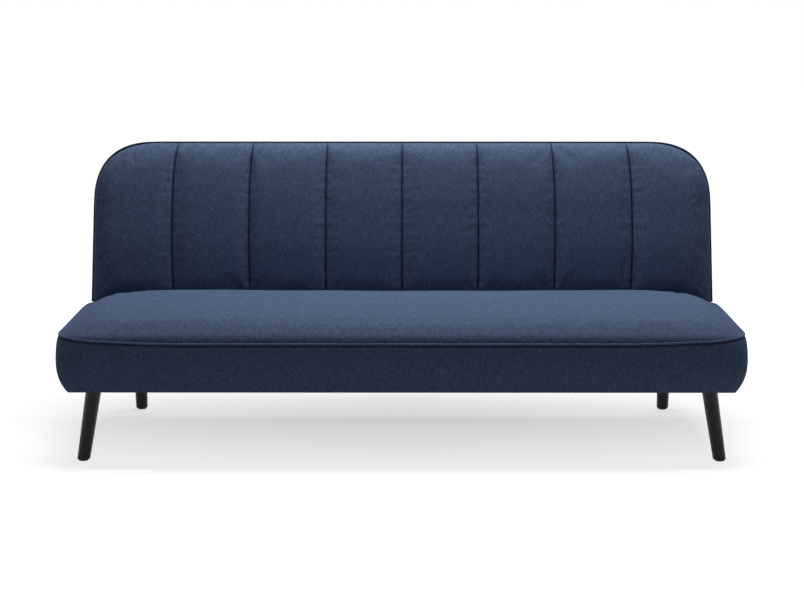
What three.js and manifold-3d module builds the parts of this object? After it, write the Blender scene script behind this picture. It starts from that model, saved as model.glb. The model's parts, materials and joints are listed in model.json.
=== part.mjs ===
// Futon sofa bed: an armless click-clack sofa. A crowned seat stands on four tapered legs, and a
// channelled backrest turns on two ratchet hinges, from its sofa position down to flat.
//
// Millimetres. +X is to the right of someone facing the sofa, +Y is towards its back, +Z is up.
// The seat is built with Y = 0 at its front piping line and Z = 0 at the floor. The backrest is built
// lying flat, with its hinge axis on X at Y = 0 and Z = 0, and its group raises it to the sofa position.

import * as THREE from "three";
import { mergeVertices } from "three/addons/utils/BufferGeometryUtils.js";
import Module from "manifold-3d";

const wasm = await Module();
wasm.setup();

// ---------------------------------------------------------------- driving dimensions

const GAP = 0.3; // between pieces that touch
const HALF_WIDTH = 925; // from the middle to the side piping line, on seat and backrest alike
const SEAT_DEPTH = 599; // from the front piping line to the rear face
const UNDERSIDE = 196; // height of the seat's underside
const SEAT_PIPING_HEIGHT = 329;
const SEAT_FRONT_RADIUS = 100;
const SEAT_REAR_RADIUS = 40;
const SEAT_ROLL_WIDTH = 48; // how far in from its edge the seat's top rolls over
const SEAT_ROLL_HEIGHT = 42;
const SEAT_CROWN = 18; // rise of the middle of the top above its rolled edge
const CROWN_LINE = 0.635 * SEAT_DEPTH; // the crown's highest line, behind the front piping line
const CROWN_REACH = 0.67 * SEAT_DEPTH; // from the highest line to where the crown has died away
const BAND_BULGE = 8;
const BAND_TUCK = 20; // how far the band turns in at the seat's bottom edge
const BAND_TUCK_HEIGHT = 18;
const BAND_HEM = 18; // flat hem of the band under the seat

const FABRIC = 2.5; // upholstery fabric with its backing
const PIPING_RADIUS = 3;
const PIPING_SWEEP = 300; // degrees of the cord that show, the rest is its flange's slit
const BACK_LENGTH = 490; // from the hinge axis to the top edge
const BACK_THICKNESS = 130;
const BACK_TOP_RADIUS = 155;
const BACK_FOOT_RADIUS = 20;
const BACK_ROLL_WIDTH = 48;
const BACK_ROLL_HEIGHT = 42;
const BACK_HEM = 14;
const BACK_BAND_BULGE = 1.5;
const BACK_BAND_TUCK = 7; // where the band rounds over onto the rear
const CHANNELS = 8;
const CHANNEL_PUFF = 6; // how far a channel's middle stands above its seams
const QUILTING = 3; // wadding under the fabric of the channels, at a seam

const HINGE_HEIGHT = 345;
const HINGE_GAP = 6; // from the axis to the seat's rear face, and to the backrest's foot
const BACK_FACE = 27; // the backrest's front face, above the axis when it lies flat
const RECLINE = 16; // degrees back from upright in the sofa position

const TIMBER = 25; // thickness of the frame's boards
const FRAME_INSET = 45; // from the seat's piping line in to its frame
const FRAME_LIFT = 3; // from the underside up to the frame's bottom
const REAR_CLEARANCE = 1.5; // from the rear rail back to the band's lining
const FRAME_TOP = 300;
const BACK_FRAME_DEPTH = 50;
const BACK_BOTTOM_RAIL = 50; // its width up the backrest
const BACK_CORNER_PLY = 45; // width of the curved corner pieces
const BACK_FRAME_INSET = 8; // from the backrest's piping line in to its frame
const BLOCK_LENGTH = 80;
const BLOCK_CHAMFER = 34;
const BLOCK_NOSE = 10; // the flat end of a corner block, against the end rail

const BASE_RAIL = 30; // square steel tube that carries a rear leg
const BASE_RAIL_WALL = 2;
const BASE_RAIL_X = HALF_WIDTH - 125; // middle of each base rail
const CROSS_TUBE_RADIUS = 11;
const CROSS_TUBE_WALL = 1.5;
const CROSS_TUBE_Y = SEAT_DEPTH + 41;

const SPRING_COUNT = 5;
const SPRING_EDGE = 365; // from the side piping line in to the outer springs
const SPRING_SWING = 28; // how far a zigzag spring swings each way
const SPRING_WAVES = 6;
const SPRING_WIRE = 2; // radius
const SPRING_DROP = 6; // from the frame's top down to the springs

const LEG_TOP_RADIUS = 22;
const LEG_FOOT_RADIUS = 17;
const LEG_FOOT_ROUND = 2;
const FRONT_LEG_X = HALF_WIDTH - 96;
const FRONT_LEG_Y = 75;
const REAR_LEG_Y = SEAT_DEPTH + 85;
const BASE_RAIL_END = REAR_LEG_Y + 32;
const FRONT_LEG_SPLAY = 9.2; // degrees outwards
const FRONT_LEG_RAKE = 4; // degrees forwards
const REAR_LEG_SPLAY = 5; // degrees backwards
const LEG_PLATE = 56;
const LEG_PLATE_CORNER = 6;
const PLATE_MARGIN = 2; // from a leg plate to the dust cover
const STUD_RADIUS = 4.5;
const STUD_CLEARANCE = 0.7;
const GLIDE_RADIUS = 13;
const GLIDE_HEIGHT = 4;

const HINGE_PLATE = 5; // thickness
const HINGE_EYE = 12; // radius
const HINGE_X = BASE_RAIL_X - 2; // inner face of each seat arm
const PLATE_GAP = 0.5; // between the two arms of a hinge
const BOLT_RADIUS = 5;
const BOLT_HEAD_RADIUS = 8.5;
const BOLT_HEAD = 5;
const BOLT_CLEARANCE = 0.15;
const SLOT_CLEARANCE = 1.5; // around a hinge's eye
const SLOT_SIDE = 8; // from the hinge plates to the sides of their slots
const SEAT_SLOT_LENGTH = 88; // forward of the hinge axis
const BACK_SLOT_LENGTH = 97; // up the backrest from the hinge axis
const SLOT_HEADROOM = 3; // more clearance over the eye in the backrest's slot
const SEAT_ARM_LENGTH = 130; // its strip along the cross rail
const SEAT_ARM_HEIGHT = 52;
const SEAT_ARM_END = 8; // from the strip to the rear rail
const SEAT_ARM_SINK = 3; // from the cross rail's top down to the strip
const SEAT_NECK = 15; // half the width of the seat arm's neck under the eye
const SEAT_NECK_RISE = 4; // from the rear rail's top up to the neck
const SEAT_GUSSET = 45; // from the axis forward to the neck's shoulder
const BACK_ARM_LENGTH = 104; // its strip along the upright
const BACK_ARM_WIDTH = 44;
const BACK_ARM_END = 4; // from the strip to the bottom rail
const BACK_ARM_SINK = 2; // from the upright's rear face to the strip
const BACK_NECK = 20; // from the axis up the backrest to the arm's inner corner
const QUADRANT_RADIUS = 30;
const TOOTH_DEPTH = 7;
const PAWL_ANGLE = -108; // direction from the axis to the pawl's tip, degrees
const PAWL_HOVER = 1.5; // from the teeth to the lifted pawl's tip
const PAWL_BOSS = 7;
const PAWL_NOSE = 1.2; // half the width of its tip
const TOOTH_SPREAD = 5; // degrees from a notch's middle to its mouth's edge
const PAWL_PIN_RADIUS = 3;
const PAWL_PIN_HEAD = 2; // its head's height, and how far it stands out round the pin
const PAWL_PIN_REACH = 52; // from the axis to the pawl's pin
const PAWL_PIN_ANGLE = -140;
const PAWL_SPRING_WIRE = 0.6; // radius
const PAWL_SPRING_TURNS = 3;

const WEBBING = 1.5;
const WEBBING_LOW = 0.41 * BACK_LENGTH; // the webbing's ends, up the backrest
const WEBBING_HIGH = 0.81 * BACK_LENGTH;
const WEBBING_LAP = 17; // onto each upright
const DUST_COVER = 1.2;

// ---------------------------------------------------------------- finishes

const FABRIC_FINISH = { color: 0x2f3d56, roughness: 0.95, metalness: 0 };
const BACKING_FINISH = { color: 0x27303f, roughness: 0.95, metalness: 0 };
const PIPING_FINISH = { color: 0x242f44, roughness: 0.95, metalness: 0 };
const FOAM_FINISH = { color: 0xe9dfb9, roughness: 1, metalness: 0 };
const TIMBER_FINISH = { color: 0xc9a777, roughness: 0.7, metalness: 0 };
const LACQUER_FINISH = { color: 0x151517, roughness: 0.35, metalness: 0 };
const COATED_FINISH = { color: 0x1d1e20, roughness: 0.5, metalness: 0.2 };
const ZINC_FINISH = { color: 0xb6b9bd, roughness: 0.35, metalness: 1 };
const SPRING_FINISH = { color: 0x8b8e92, roughness: 0.4, metalness: 1 };
const PLASTIC_FINISH = { color: 0x101011, roughness: 0.6, metalness: 0 };
const CLOTH_FINISH = { color: 0x161618, roughness: 1, metalness: 0 };

// ---------------------------------------------------------------- solids

const SIDES = { left: -1, right: 1 };
const radians = THREE.MathUtils.degToRad;
const sofa = new THREE.Group();
const backrest = new THREE.Group();

function piece(group, name, geometry, finish) {
  const mesh = new THREE.Mesh(geometry, new THREE.MeshStandardMaterial(finish));
  mesh.name = name;
  group.add(mesh);
  return mesh;
}

function box(x, y, z) {
  const geometry = new THREE.BoxGeometry(x[1] - x[0], y[1] - y[0], z[1] - z[0]);
  return geometry.translate((x[0] + x[1]) / 2, (y[0] + y[1]) / 2, (z[0] + z[1]) / 2);
}

// A span of X on the right, or its mirror on the left.
function spanX(side, inner, outer) {
  return side > 0 ? [inner, outer] : [-outer, -inner];
}

function shapeOf(points) {
  return new THREE.Shape(points.map(([a, b]) => new THREE.Vector2(a, b)));
}

// A shape drawn in X and Y, from one height to another.
function plateZ(shape, z) {
  const settings = { depth: z[1] - z[0], bevelEnabled: false, curveSegments: 8 };
  return new THREE.ExtrudeGeometry(shape, settings).translate(0, 0, z[0]);
}

// A shape drawn in Y and Z, from one X to another.
function plateX(shape, x, curveSegments = 8) {
  const settings = { depth: x[1] - x[0], bevelEnabled: false, curveSegments };
  const turn = new THREE.Matrix4().makeBasis(
    new THREE.Vector3(0, 1, 0),
    new THREE.Vector3(0, 0, 1),
    new THREE.Vector3(1, 0, 0),
  );
  return new THREE.ExtrudeGeometry(shape, settings).applyMatrix4(turn).translate(x[0], 0, 0);
}

// A turned piece: points give radius and height, about Z.
function turned(points, steps) {
  const profile = points.map(([radius, height]) => new THREE.Vector2(radius, height));
  return new THREE.LatheGeometry(profile, steps).rotateX(Math.PI / 2);
}

// A turned piece about an axis along X: points give radius and X.
function turnedX(points, steps) {
  const profile = points.map(([radius, x]) => new THREE.Vector2(radius, x));
  return new THREE.LatheGeometry(profile, steps).rotateZ(-Math.PI / 2);
}

function circle(y, z, radius) {
  return new THREE.Path().absarc(y, z, radius, 0, Math.PI * 2, true);
}

function polar(centre, radius, degrees) {
  const angle = radians(degrees);
  return [centre[0] + radius * Math.cos(angle), centre[1] + radius * Math.sin(angle)];
}

function arc(centre, radius, from, to, steps) {
  const turn = (to - from) / steps;
  return Array.from({ length: steps + 1 }, (_, k) => polar(centre, radius, from + turn * k));
}

function solid(geometry) {
  const bare = new THREE.BufferGeometry();
  bare.setAttribute("position", geometry.getAttribute("position"));
  bare.setIndex(geometry.getIndex());
  const merged = mergeVertices(bare);
  const vertProperties = new Float32Array(merged.getAttribute("position").array);
  const triVerts = new Uint32Array(merged.getIndex().array);
  return new wasm.Manifold(new wasm.Mesh({ numProp: 3, vertProperties, triVerts }));
}

// A geometry with each cutter taken away.
function cut(geometry, cutters) {
  const left = cutters.reduce((whole, cutter) => whole.subtract(solid(cutter)), solid(geometry));
  const mesh = left.getMesh();
  const result = new THREE.BufferGeometry();
  result.setAttribute("position", new THREE.BufferAttribute(mesh.vertProperties, 3));
  result.setIndex(new THREE.BufferAttribute(mesh.triVerts, 1));
  return result;
}

// ---------------------------------------------------------------- upholstery forms

// A pad's outline, seen from its front: x across, v from its low edge to its high edge. The seat's
// low edge is its front, and the backrest's is its foot. The plain edge has no piping.
const SEAT = {
  halfWidth: HALF_WIDTH,
  low: 0,
  high: SEAT_DEPTH,
  lowRadius: SEAT_FRONT_RADIUS,
  highRadius: SEAT_REAR_RADIUS,
  plainEdge: "high",
};
const BACK = {
  halfWidth: HALF_WIDTH,
  low: HINGE_GAP,
  high: BACK_LENGTH,
  lowRadius: BACK_FOOT_RADIUS,
  highRadius: BACK_TOP_RADIUS,
  plainEdge: "low",
};

// Where an outline, moved in by inset, has its low or high edge at x.
function edgeAt(outline, x, inset, edge) {
  const radius = outline[`${edge}Radius`];
  const over = Math.abs(x) - (outline.halfWidth - radius);
  const reach = Math.sqrt(Math.max((radius - inset) ** 2 - over ** 2, 0));
  const drop = over > 0 ? radius - reach : inset;
  return edge === "low" ? outline.low + drop : outline.high - drop;
}

// How far a point lies inside an outline.
function depthInside(outline, x, v) {
  const corners = [
    [outline.lowRadius, v - outline.low],
    [outline.highRadius, outline.high - v],
  ];
  for (const [radius, fromEdge] of corners) {
    const over = Math.abs(x) - (outline.halfWidth - radius);
    if (over > 0 && fromEdge < radius) return radius - Math.hypot(over, radius - fromEdge);
  }
  return Math.min(outline.halfWidth - Math.abs(x), v - outline.low, outline.high - v);
}

// 1 along an outline's piped edges, fading to 0 round the corners of its plain edge.
function pipedShare(outline, v) {
  const high = outline.plainEdge === "high";
  const fromPlain = high ? outline.high - v : v - outline.low;
  const radius = high ? outline.highRadius : outline.lowRadius;
  return THREE.MathUtils.smoothstep(fromPlain, 0, radius);
}

// Half the width of the seam between panel and band: room for the piping, or none on the plain edge.
function seamRoom(outline, v) {
  const closed = GAP / 2;
  return closed + (PIPING_RADIUS + GAP - closed) * pipedShare(outline, v);
}

// The rise of a rolled edge, 0 at the edge and 1 where the roll ends: a superellipse.
function roll(share) {
  const power = 2.3;
  const left = 1 - THREE.MathUtils.clamp(share, 0, 1);
  return (1 - left ** power) ** (1 / power);
}

// Columns across an outline: through its low and high corners' arcs, and the others given.
function columnsAcross(outline, arcSteps, others) {
  const right = new Set(others);
  const arcs = [
    [outline.lowRadius, arcSteps[0]],
    [outline.highRadius, arcSteps[1]],
  ];
  for (const [radius, steps] of arcs) {
    for (let k = 0; k <= steps; k += 1) {
      right.add(outline.halfWidth - radius + radius * Math.sin((Math.PI / 2) * (k / steps)));
    }
  }
  const sorted = [...right].sort((a, b) => a - b);
  const spaced = sorted.filter((x, k) => k === 0 || x - sorted[k - 1] > 1 || x === sorted.at(-1));
  return [...spaced.filter((x) => x > 0).map((x) => -x).reverse(), ...spaced];
}

// Rows as shares of the way from the low edge to the high edge, from distances in from each.
function rowsUp(outline, fromLow, fromHigh) {
  const length = outline.high - outline.low;
  return [...fromLow.map((d) => d / length), ...fromHigh.map((d) => 1 - d / length).reverse()];
}

// A grid of points over an outline moved in by inset, each with its height above the pad's plane.
function padGrid(outline, inset, columns, rows, height) {
  const squeeze = (outline.halfWidth - inset) / outline.halfWidth;
  return columns.map((column) => {
    const x = column * squeeze;
    const low = edgeAt(outline, x, inset, "low");
    const high = edgeAt(outline, x, inset, "high");
    return rows.map((row) => {
      const v = low + (high - low) * row;
      return [x, v, height(x, v)];
    });
  });
}

// A grid's outer points in order, anticlockwise from above.
function rim(grid) {
  const end = grid.length - 1;
  const top = grid[0].length - 1;
  return [
    ...grid.slice(0, end).map((column) => column[0]),
    ...grid[end].slice(0, top),
    ...grid.slice(1).reverse().map((column) => column[top]),
    ...grid[0].slice(1).reverse(),
  ];
}

function quad(faces, a, b, c, d) {
  faces.push(a, b, c, a, c, d);
}

function coverGrid(faces, grid, up) {
  for (let i = 0; i + 1 < grid.length; i += 1) {
    for (let j = 0; j + 1 < grid[i].length; j += 1) {
      const corners = [grid[i][j], grid[i + 1][j], grid[i + 1][j + 1], grid[i][j + 1]];
      quad(faces, ...(up ? corners : corners.reverse()));
    }
  }
}

// The wall between two loops with as many points each, the second above the first.
function wall(faces, lower, upper) {
  lower.forEach((point, k) => {
    const next = (k + 1) % lower.length;
    quad(faces, point, lower[next], upper[next], upper[k]);
  });
}

function closed(faces) {
  const geometry = new THREE.BufferGeometry();
  geometry.setAttribute("position", new THREE.Float32BufferAttribute(faces.flat(), 3));
  return geometry;
}

// A panel of cloth or quilting: a face and a lining, joined along their rims.
function panel(face, lining) {
  const faces = [];
  coverGrid(faces, face, true);
  coverGrid(faces, lining, false);
  wall(faces, rim(lining), rim(face));
  return closed(faces);
}

// A block of foam: a shaped top, walls down through each loop, and a flat bottom.
function foamBlock(top, loops) {
  const faces = [];
  coverGrid(faces, top, true);
  const levels = [rim(top), ...loops];
  for (let k = 0; k + 1 < levels.length; k += 1) wall(faces, levels[k + 1], levels[k]);
  const bottom = levels.at(-1);
  const across = top.length - 1;
  const up = top[0].length - 1;
  const low = (i) => bottom[i];
  const high = (i) => bottom[2 * across + up - i];
  for (let i = 1; i + 1 < across; i += 1) quad(faces, low(i), high(i), high(i + 1), low(i + 1));
  for (let j = 0; j < up; j += 1) {
    const right = [bottom[across + j], bottom[across + j + 1]];
    const from = (2 * across + up + j) % bottom.length;
    const left = [bottom[from], bottom[(from + 1) % bottom.length]];
    faces.push(low(across - 1), right[1], right[0]);
    faces.push(low(1), left[1], left[0]);
  }
  faces.push(low(across - 1), high(across - 1), high(across));
  faces.push(low(1), high(0), high(1));
  return closed(faces);
}

// Stations along an outline, each with the direction that points out of it.
function corner(outline, name, steps) {
  const [edge, hand] = name;
  const radius = outline[`${edge}Radius`];
  const x = (outline.halfWidth - radius) * (hand === "right" ? 1 : -1);
  const v = edge === "low" ? outline.low + radius : outline.high - radius;
  const starts = { lowright: -90, highright: 0, highleft: 90, lowleft: 180 };
  return Array.from({ length: steps + 1 }, (_, k) => {
    const angle = radians(starts[edge + hand] + (90 * k) / steps);
    const out = [Math.cos(angle), Math.sin(angle)];
    return { x: x + radius * out[0], v: v + radius * out[1], out };
  });
}

function between(from, to, steps) {
  return Array.from({ length: steps - 1 }, (_, k) => {
    const share = (k + 1) / steps;
    const x = from.x + (to.x - from.x) * share;
    const v = from.v + (to.v - from.v) * share;
    return { x, v, out: to.out };
  });
}

// The outline's stations from one end of its plain edge to the other, past every piped edge.
function pipedPath(outline, cornerSteps, sideSteps) {
  const order = outline.plainEdge === "high"
    ? [["high", "left"], ["low", "left"], ["low", "right"], ["high", "right"]]
    : [["low", "right"], ["high", "right"], ["high", "left"], ["low", "left"]];
  const corners = order.map((name) => corner(outline, name, cornerSteps));
  return corners.flatMap((stations, k) => {
    const next = corners[k + 1];
    const straight = next && k !== 1 ? between(stations.at(-1), next[0], sideSteps) : [];
    return [...stations, ...straight];
  });
}

// A section carried along stations. It gives [outset, height] points for a station, in order.
function carried(stations, section, isClosed) {
  const rings = stations.map((station) =>
    section(station).map(([outset, height]) => [
      station.x + station.out[0] * outset,
      station.v + station.out[1] * outset,
      height,
    ]));
  const faces = [];
  const spans = isClosed ? rings.length : rings.length - 1;
  for (let k = 0; k < spans; k += 1) wall(faces, rings[k], rings[(k + 1) % rings.length]);
  if (!isClosed) {
    const first = rings[0];
    const last = rings.at(-1);
    for (let k = 1; k + 1 < first.length; k += 1) {
      faces.push(first[0], first[k + 1], first[k]);
      faces.push(last[0], last[k], last[k + 1]);
    }
  }
  return closed(faces);
}

// A strip of cloth's section: its outer face from top to bottom, and back up its lining.
function clothSection(outer) {
  const lining = outer.map(([outset, height], k) => {
    const before = outer[Math.max(k - 1, 0)];
    const after = outer[Math.min(k + 1, outer.length - 1)];
    const run = [after[0] - before[0], after[1] - before[1]];
    const length = Math.hypot(...run);
    return [outset + (FABRIC * run[1]) / length, height - (FABRIC * run[0]) / length];
  });
  return [...outer, ...lining.reverse()];
}

// Piping along the piped edges, ending where the plain edge's corners start.
function piping(outline, height, cornerSteps) {
  const section = () => arc([0, height], PIPING_RADIUS, 0, -PIPING_SWEEP, 5);
  const stations = pipedPath(outline, cornerSteps, 5).slice(cornerSteps, -cornerSteps);
  return carried(stations, section, false);
}

// ---------------------------------------------------------------- seat upholstery

const FRAME_BOTTOM = UNDERSIDE + FRAME_LIFT;
const FOAM_INSET = FABRIC + 5 * GAP;
const REAR_FRAME = SEAT_DEPTH - FABRIC - REAR_CLEARANCE; // the rear rail's back face

function seatTop(inset) {
  return (x, v) => {
    const depth = Math.max(depthInside(SEAT, x, v) - inset, 0);
    const share = depth / (SEAT_ROLL_WIDTH - inset);
    const across = 1 - Math.abs(x / HALF_WIDTH) ** 6;
    const fromLine = THREE.MathUtils.clamp((v - CROWN_LINE) / CROWN_REACH, -1, 1);
    const along = Math.cos((Math.PI / 2) * fromLine);
    const rise = roll(share) * (SEAT_ROLL_HEIGHT - inset);
    const crown = SEAT_CROWN * Math.max(across, 0) * along * Math.min(share, 1);
    return SEAT_PIPING_HEIGHT + Math.max(rise + crown, seamRoom(SEAT, v));
  };
}

const ROLL_STEPS = [0, 0.03, 0.12, 0.28, 0.52, 1]; // shares of a roll's width
const seatRoll = ROLL_STEPS.map((share) => share * SEAT_ROLL_WIDTH);
const seatMiddle = [0, 0.24, 0.48, 0.69, 0.84].map((share) => share * HALF_WIDTH);
const seatColumns = columnsAcross(SEAT, [5, 3], [...seatMiddle, ...seatRoll.map((d) => HALF_WIDTH - d)]);
const seatRows = rowsUp(
  SEAT,
  [...seatRoll, 0.22 * SEAT_DEPTH, 0.37 * SEAT_DEPTH, 0.53 * SEAT_DEPTH],
  [...seatRoll, 0.2 * SEAT_DEPTH, 0.33 * SEAT_DEPTH],
);

function seatGrid(inset) {
  return padGrid(SEAT, inset, seatColumns, seatRows, seatTop(inset));
}

// The band's outer face at a station: bulging on the front and sides, straight at the rear.
function bandFace(station, inset) {
  const share = pipedShare(SEAT, station.v);
  const top = SEAT_PIPING_HEIGHT - seamRoom(SEAT, station.v);
  const low = UNDERSIDE + BAND_TUCK_HEIGHT;
  return [
    [-inset, top],
    [0.75 * BAND_BULGE * share - inset, top - (top - low) * 0.22],
    [BAND_BULGE * share - inset, top - (top - low) * 0.5],
    [0.6 * BAND_BULGE * share - inset, top - (top - low) * 0.82],
    [-0.2 * BAND_TUCK * share - inset, UNDERSIDE + 0.5 * BAND_TUCK_HEIGHT],
    [-BAND_TUCK * share - inset, UNDERSIDE],
  ];
}

// The direction that points out of an outline at one of its rim's points.
function outwardAt(outline, x, v) {
  const corners = [
    [outline.lowRadius, v - outline.low, -1],
    [outline.highRadius, outline.high - v, 1],
  ];
  for (const [radius, fromEdge, sign] of corners) {
    const over = Math.abs(x) - (outline.halfWidth - radius);
    if (over > 0 && fromEdge < radius) {
      const length = Math.hypot(over, radius - fromEdge);
      return [(Math.sign(x) * over) / length, (sign * (radius - fromEdge)) / length];
    }
  }
  const side = outline.halfWidth - Math.abs(x);
  const low = v - outline.low;
  const high = outline.high - v;
  if (side <= Math.min(low, high)) return [Math.sign(x), 0];
  return [0, low < high ? -1 : 1];
}

// Loops down the seat foam's walls, just inside the band and ending above where it turns in.
function seatFoamLoops(top) {
  return [0, 1, 2, 3, 4].map((level) =>
    rim(top).map(([x, v]) => {
      const out = outwardAt(SEAT, x, v);
      const [outset] = bandFace({ v }, GAP)[level];
      const [, height] = bandFace({ v: SEAT.low }, 0)[level];
      return [x + out[0] * outset, v + out[1] * outset, height + (level === 4 ? 2 * FABRIC : 0)];
    }));
}

function seatUpholstery() {
  const slots = Object.values(SIDES).map((side) => seatSlot(side));
  const top = seatGrid(FOAM_INSET);
  const pocket = box(
    [FRAME_INSET - GAP - HALF_WIDTH, HALF_WIDTH - FRAME_INSET + GAP],
    [FRAME_INSET - GAP, SEAT_DEPTH + HINGE_GAP],
    [0, FRAME_TOP + GAP],
  );
  const foam = cut(foamBlock(top, seatFoamLoops(top)), [pocket, ...slots]);
  piece(sofa, "seat_foam", foam, FOAM_FINISH);
  piece(sofa, "seat_top_cover", cut(panel(seatGrid(0), seatGrid(FABRIC)), slots), FABRIC_FINISH);

  const section = (station) => {
    const outer = bandFace(station, 0);
    const hem = BAND_TUCK * pipedShare(SEAT, station.v) + BAND_HEM;
    return clothSection([...outer, [-hem, UNDERSIDE]]);
  };
  const stations = pipedPath(SEAT, 6, 4);
  const railHoles = Object.values(SIDES).map((side) =>
    box(
      spanX(side, BASE_RAIL_X - BASE_RAIL / 2 - GAP, BASE_RAIL_X + BASE_RAIL / 2 + GAP),
      [SEAT_DEPTH - BAND_HEM - GAP, SEAT_DEPTH + HINGE_GAP],
      [FRAME_BOTTOM - GAP, FRAME_BOTTOM + BASE_RAIL + GAP],
    ));
  const band = cut(carried(stations, section, true), [...slots, ...railHoles]);
  piece(sofa, "seat_band", band, FABRIC_FINISH);
  piece(sofa, "seat_piping", piping(SEAT, SEAT_PIPING_HEIGHT, 6), PIPING_FINISH);
}

// ---------------------------------------------------------------- seat frame

const FRAME_HALF = HALF_WIDTH - FRAME_INSET;
const BEARER_X = HINGE_X + HINGE_PLATE + GAP; // inner face of each cross rail
const FRONT_RAIL = [FRAME_INSET, FRAME_INSET + TIMBER];
const REAR_RAIL = [REAR_FRAME - TIMBER, REAR_FRAME];
const BETWEEN_RAILS = [FRONT_RAIL[1] + GAP, REAR_RAIL[0] - GAP];
const BASE_TOP = FRAME_BOTTOM + BASE_RAIL;

function seatFrame() {
  const front = box([-FRAME_HALF, FRAME_HALF], FRONT_RAIL, [FRAME_BOTTOM, FRAME_TOP]);
  const rear = box([-FRAME_HALF, FRAME_HALF], REAR_RAIL, [FRAME_BOTTOM, FRAME_TOP]);
  const notches = Object.values(SIDES).map((side) =>
    box(
      spanX(side, BASE_RAIL_X - BASE_RAIL / 2 - GAP, BASE_RAIL_X + BASE_RAIL / 2 + GAP),
      [REAR_RAIL[0] - TIMBER, REAR_RAIL[1] + TIMBER],
      [0, BASE_TOP + GAP],
    ));
  piece(sofa, "seat_front_rail", front, TIMBER_FINISH);
  piece(sofa, "seat_rear_rail", cut(rear, notches), TIMBER_FINISH);
  for (const [name, side] of Object.entries(SIDES)) {
    const end = spanX(side, FRAME_HALF - TIMBER, FRAME_HALF);
    const endRail = box(end, BETWEEN_RAILS, [FRAME_BOTTOM, FRAME_TOP]);
    piece(sofa, `seat_end_rail_${name}`, endRail, TIMBER_FINISH);
    const bearer = spanX(side, BEARER_X, BEARER_X + TIMBER);
    const crossRail = box(bearer, BETWEEN_RAILS, [BASE_TOP + GAP, FRAME_TOP]);
    piece(sofa, `seat_cross_rail_${name}`, crossRail, TIMBER_FINISH);
    piece(sofa, `corner_block_${name}`, cornerBlock(side), TIMBER_FINISH);
  }
}

// The block in the frame's front corner, over the front leg.
function cornerBlock(side) {
  const inner = BASE_RAIL_X + BASE_RAIL / 2 + GAP;
  const outer = FRAME_HALF - TIMBER - GAP;
  const front = BETWEEN_RAILS[0];
  const outlinePoints = [
    [inner, front],
    [outer, front],
    [outer, front + BLOCK_LENGTH],
    [outer - BLOCK_NOSE, front + BLOCK_LENGTH],
    [inner, front + BLOCK_LENGTH - BLOCK_CHAMFER],
  ].map(([x, y]) => [side * x, y]);
  return plateZ(shapeOf(outlinePoints), [FRAME_BOTTOM, BASE_TOP]);
}

class ZigzagWire extends THREE.Curve {
  constructor(x) {
    super();
    this.x = x;
  }

  getPoint(share) {
    const y = THREE.MathUtils.lerp(BETWEEN_RAILS[0], BETWEEN_RAILS[1], share);
    const taper = Math.min(1, 8 * share, 8 * (1 - share));
    const swing = SPRING_SWING * taper * Math.sin(2 * Math.PI * SPRING_WAVES * share);
    return new THREE.Vector3(this.x + swing, y, FRAME_TOP - SPRING_DROP);
  }

  getPointAt(share) {
    return this.getPoint(share);
  }

  getTangentAt(share) {
    return this.getTangent(share);
  }
}

function seatSprings() {
  const pitch = (2 * (HALF_WIDTH - SPRING_EDGE)) / (SPRING_COUNT - 1);
  const section = new THREE.Shape().absarc(0, 0, SPRING_WIRE, 0, Math.PI * 2);
  for (let k = 0; k < SPRING_COUNT; k += 1) {
    const x = pitch * (k - (SPRING_COUNT - 1) / 2);
    const settings = { steps: SPRING_WAVES * 6, curveSegments: 2, extrudePath: new ZigzagWire(x) };
    piece(sofa, `seat_spring_${k + 1}`, new THREE.ExtrudeGeometry(section, settings), SPRING_FINISH);
  }
}

function dustCover() {
  const x = FRAME_HALF;
  const edge = LEG_PLATE / 2 + PLATE_MARGIN;
  const inner = FRONT_LEG_X - edge;
  const top = FRONT_LEG_Y + edge;
  const right = [[inner, FRAME_INSET], [inner, top], [x, top], [x, REAR_FRAME - BAND_HEM]];
  const left = right.map(([a, b]) => [-a, b]).reverse();
  const z = [FRAME_BOTTOM - GAP - DUST_COVER, FRAME_BOTTOM - GAP];
  piece(sofa, "seat_dust_cover", plateZ(shapeOf([...right, ...left]), z), CLOTH_FINISH);
}

// ---------------------------------------------------------------- legs and base

// A tapered leg with its stud, leaning by shear so that its ends stay level.
function legGeometry(leanX, leanY) {
  const foot = GLIDE_HEIGHT + GAP;
  const top = UNDERSIDE - GAP;
  const profile = [
    [0, foot],
    [LEG_FOOT_RADIUS - LEG_FOOT_ROUND, foot],
    [LEG_FOOT_RADIUS - 0.3 * LEG_FOOT_ROUND, foot + 0.3 * LEG_FOOT_ROUND],
    [LEG_FOOT_RADIUS, foot + LEG_FOOT_ROUND],
    [LEG_TOP_RADIUS, top],
    [STUD_RADIUS, top],
    [STUD_RADIUS, FRAME_BOTTOM - GAP],
    [0, FRAME_BOTTOM - GAP],
  ].map(([radius, height]) => [radius, height - UNDERSIDE]);
  const shear = new THREE.Matrix4().set(
    1, 0, leanX, 0,
    0, 1, leanY, 0,
    0, 0, 1, UNDERSIDE,
    0, 0, 0, 1,
  );
  return turned(profile, 20).applyMatrix4(shear);
}

function legPlate() {
  const half = LEG_PLATE / 2;
  const c = LEG_PLATE_CORNER;
  const points = [
    ...arc([half - c, c - half], c, -90, 0, 3),
    ...arc([half - c, half - c], c, 0, 90, 3),
    ...arc([c - half, half - c], c, 90, 180, 3),
    ...arc([c - half, c - half], c, 180, 270, 3),
  ];
  const shape = shapeOf(points);
  shape.holes.push(circle(0, 0, STUD_RADIUS + STUD_CLEARANCE));
  return plateZ(shape, [UNDERSIDE, FRAME_BOTTOM - GAP]);
}

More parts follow.
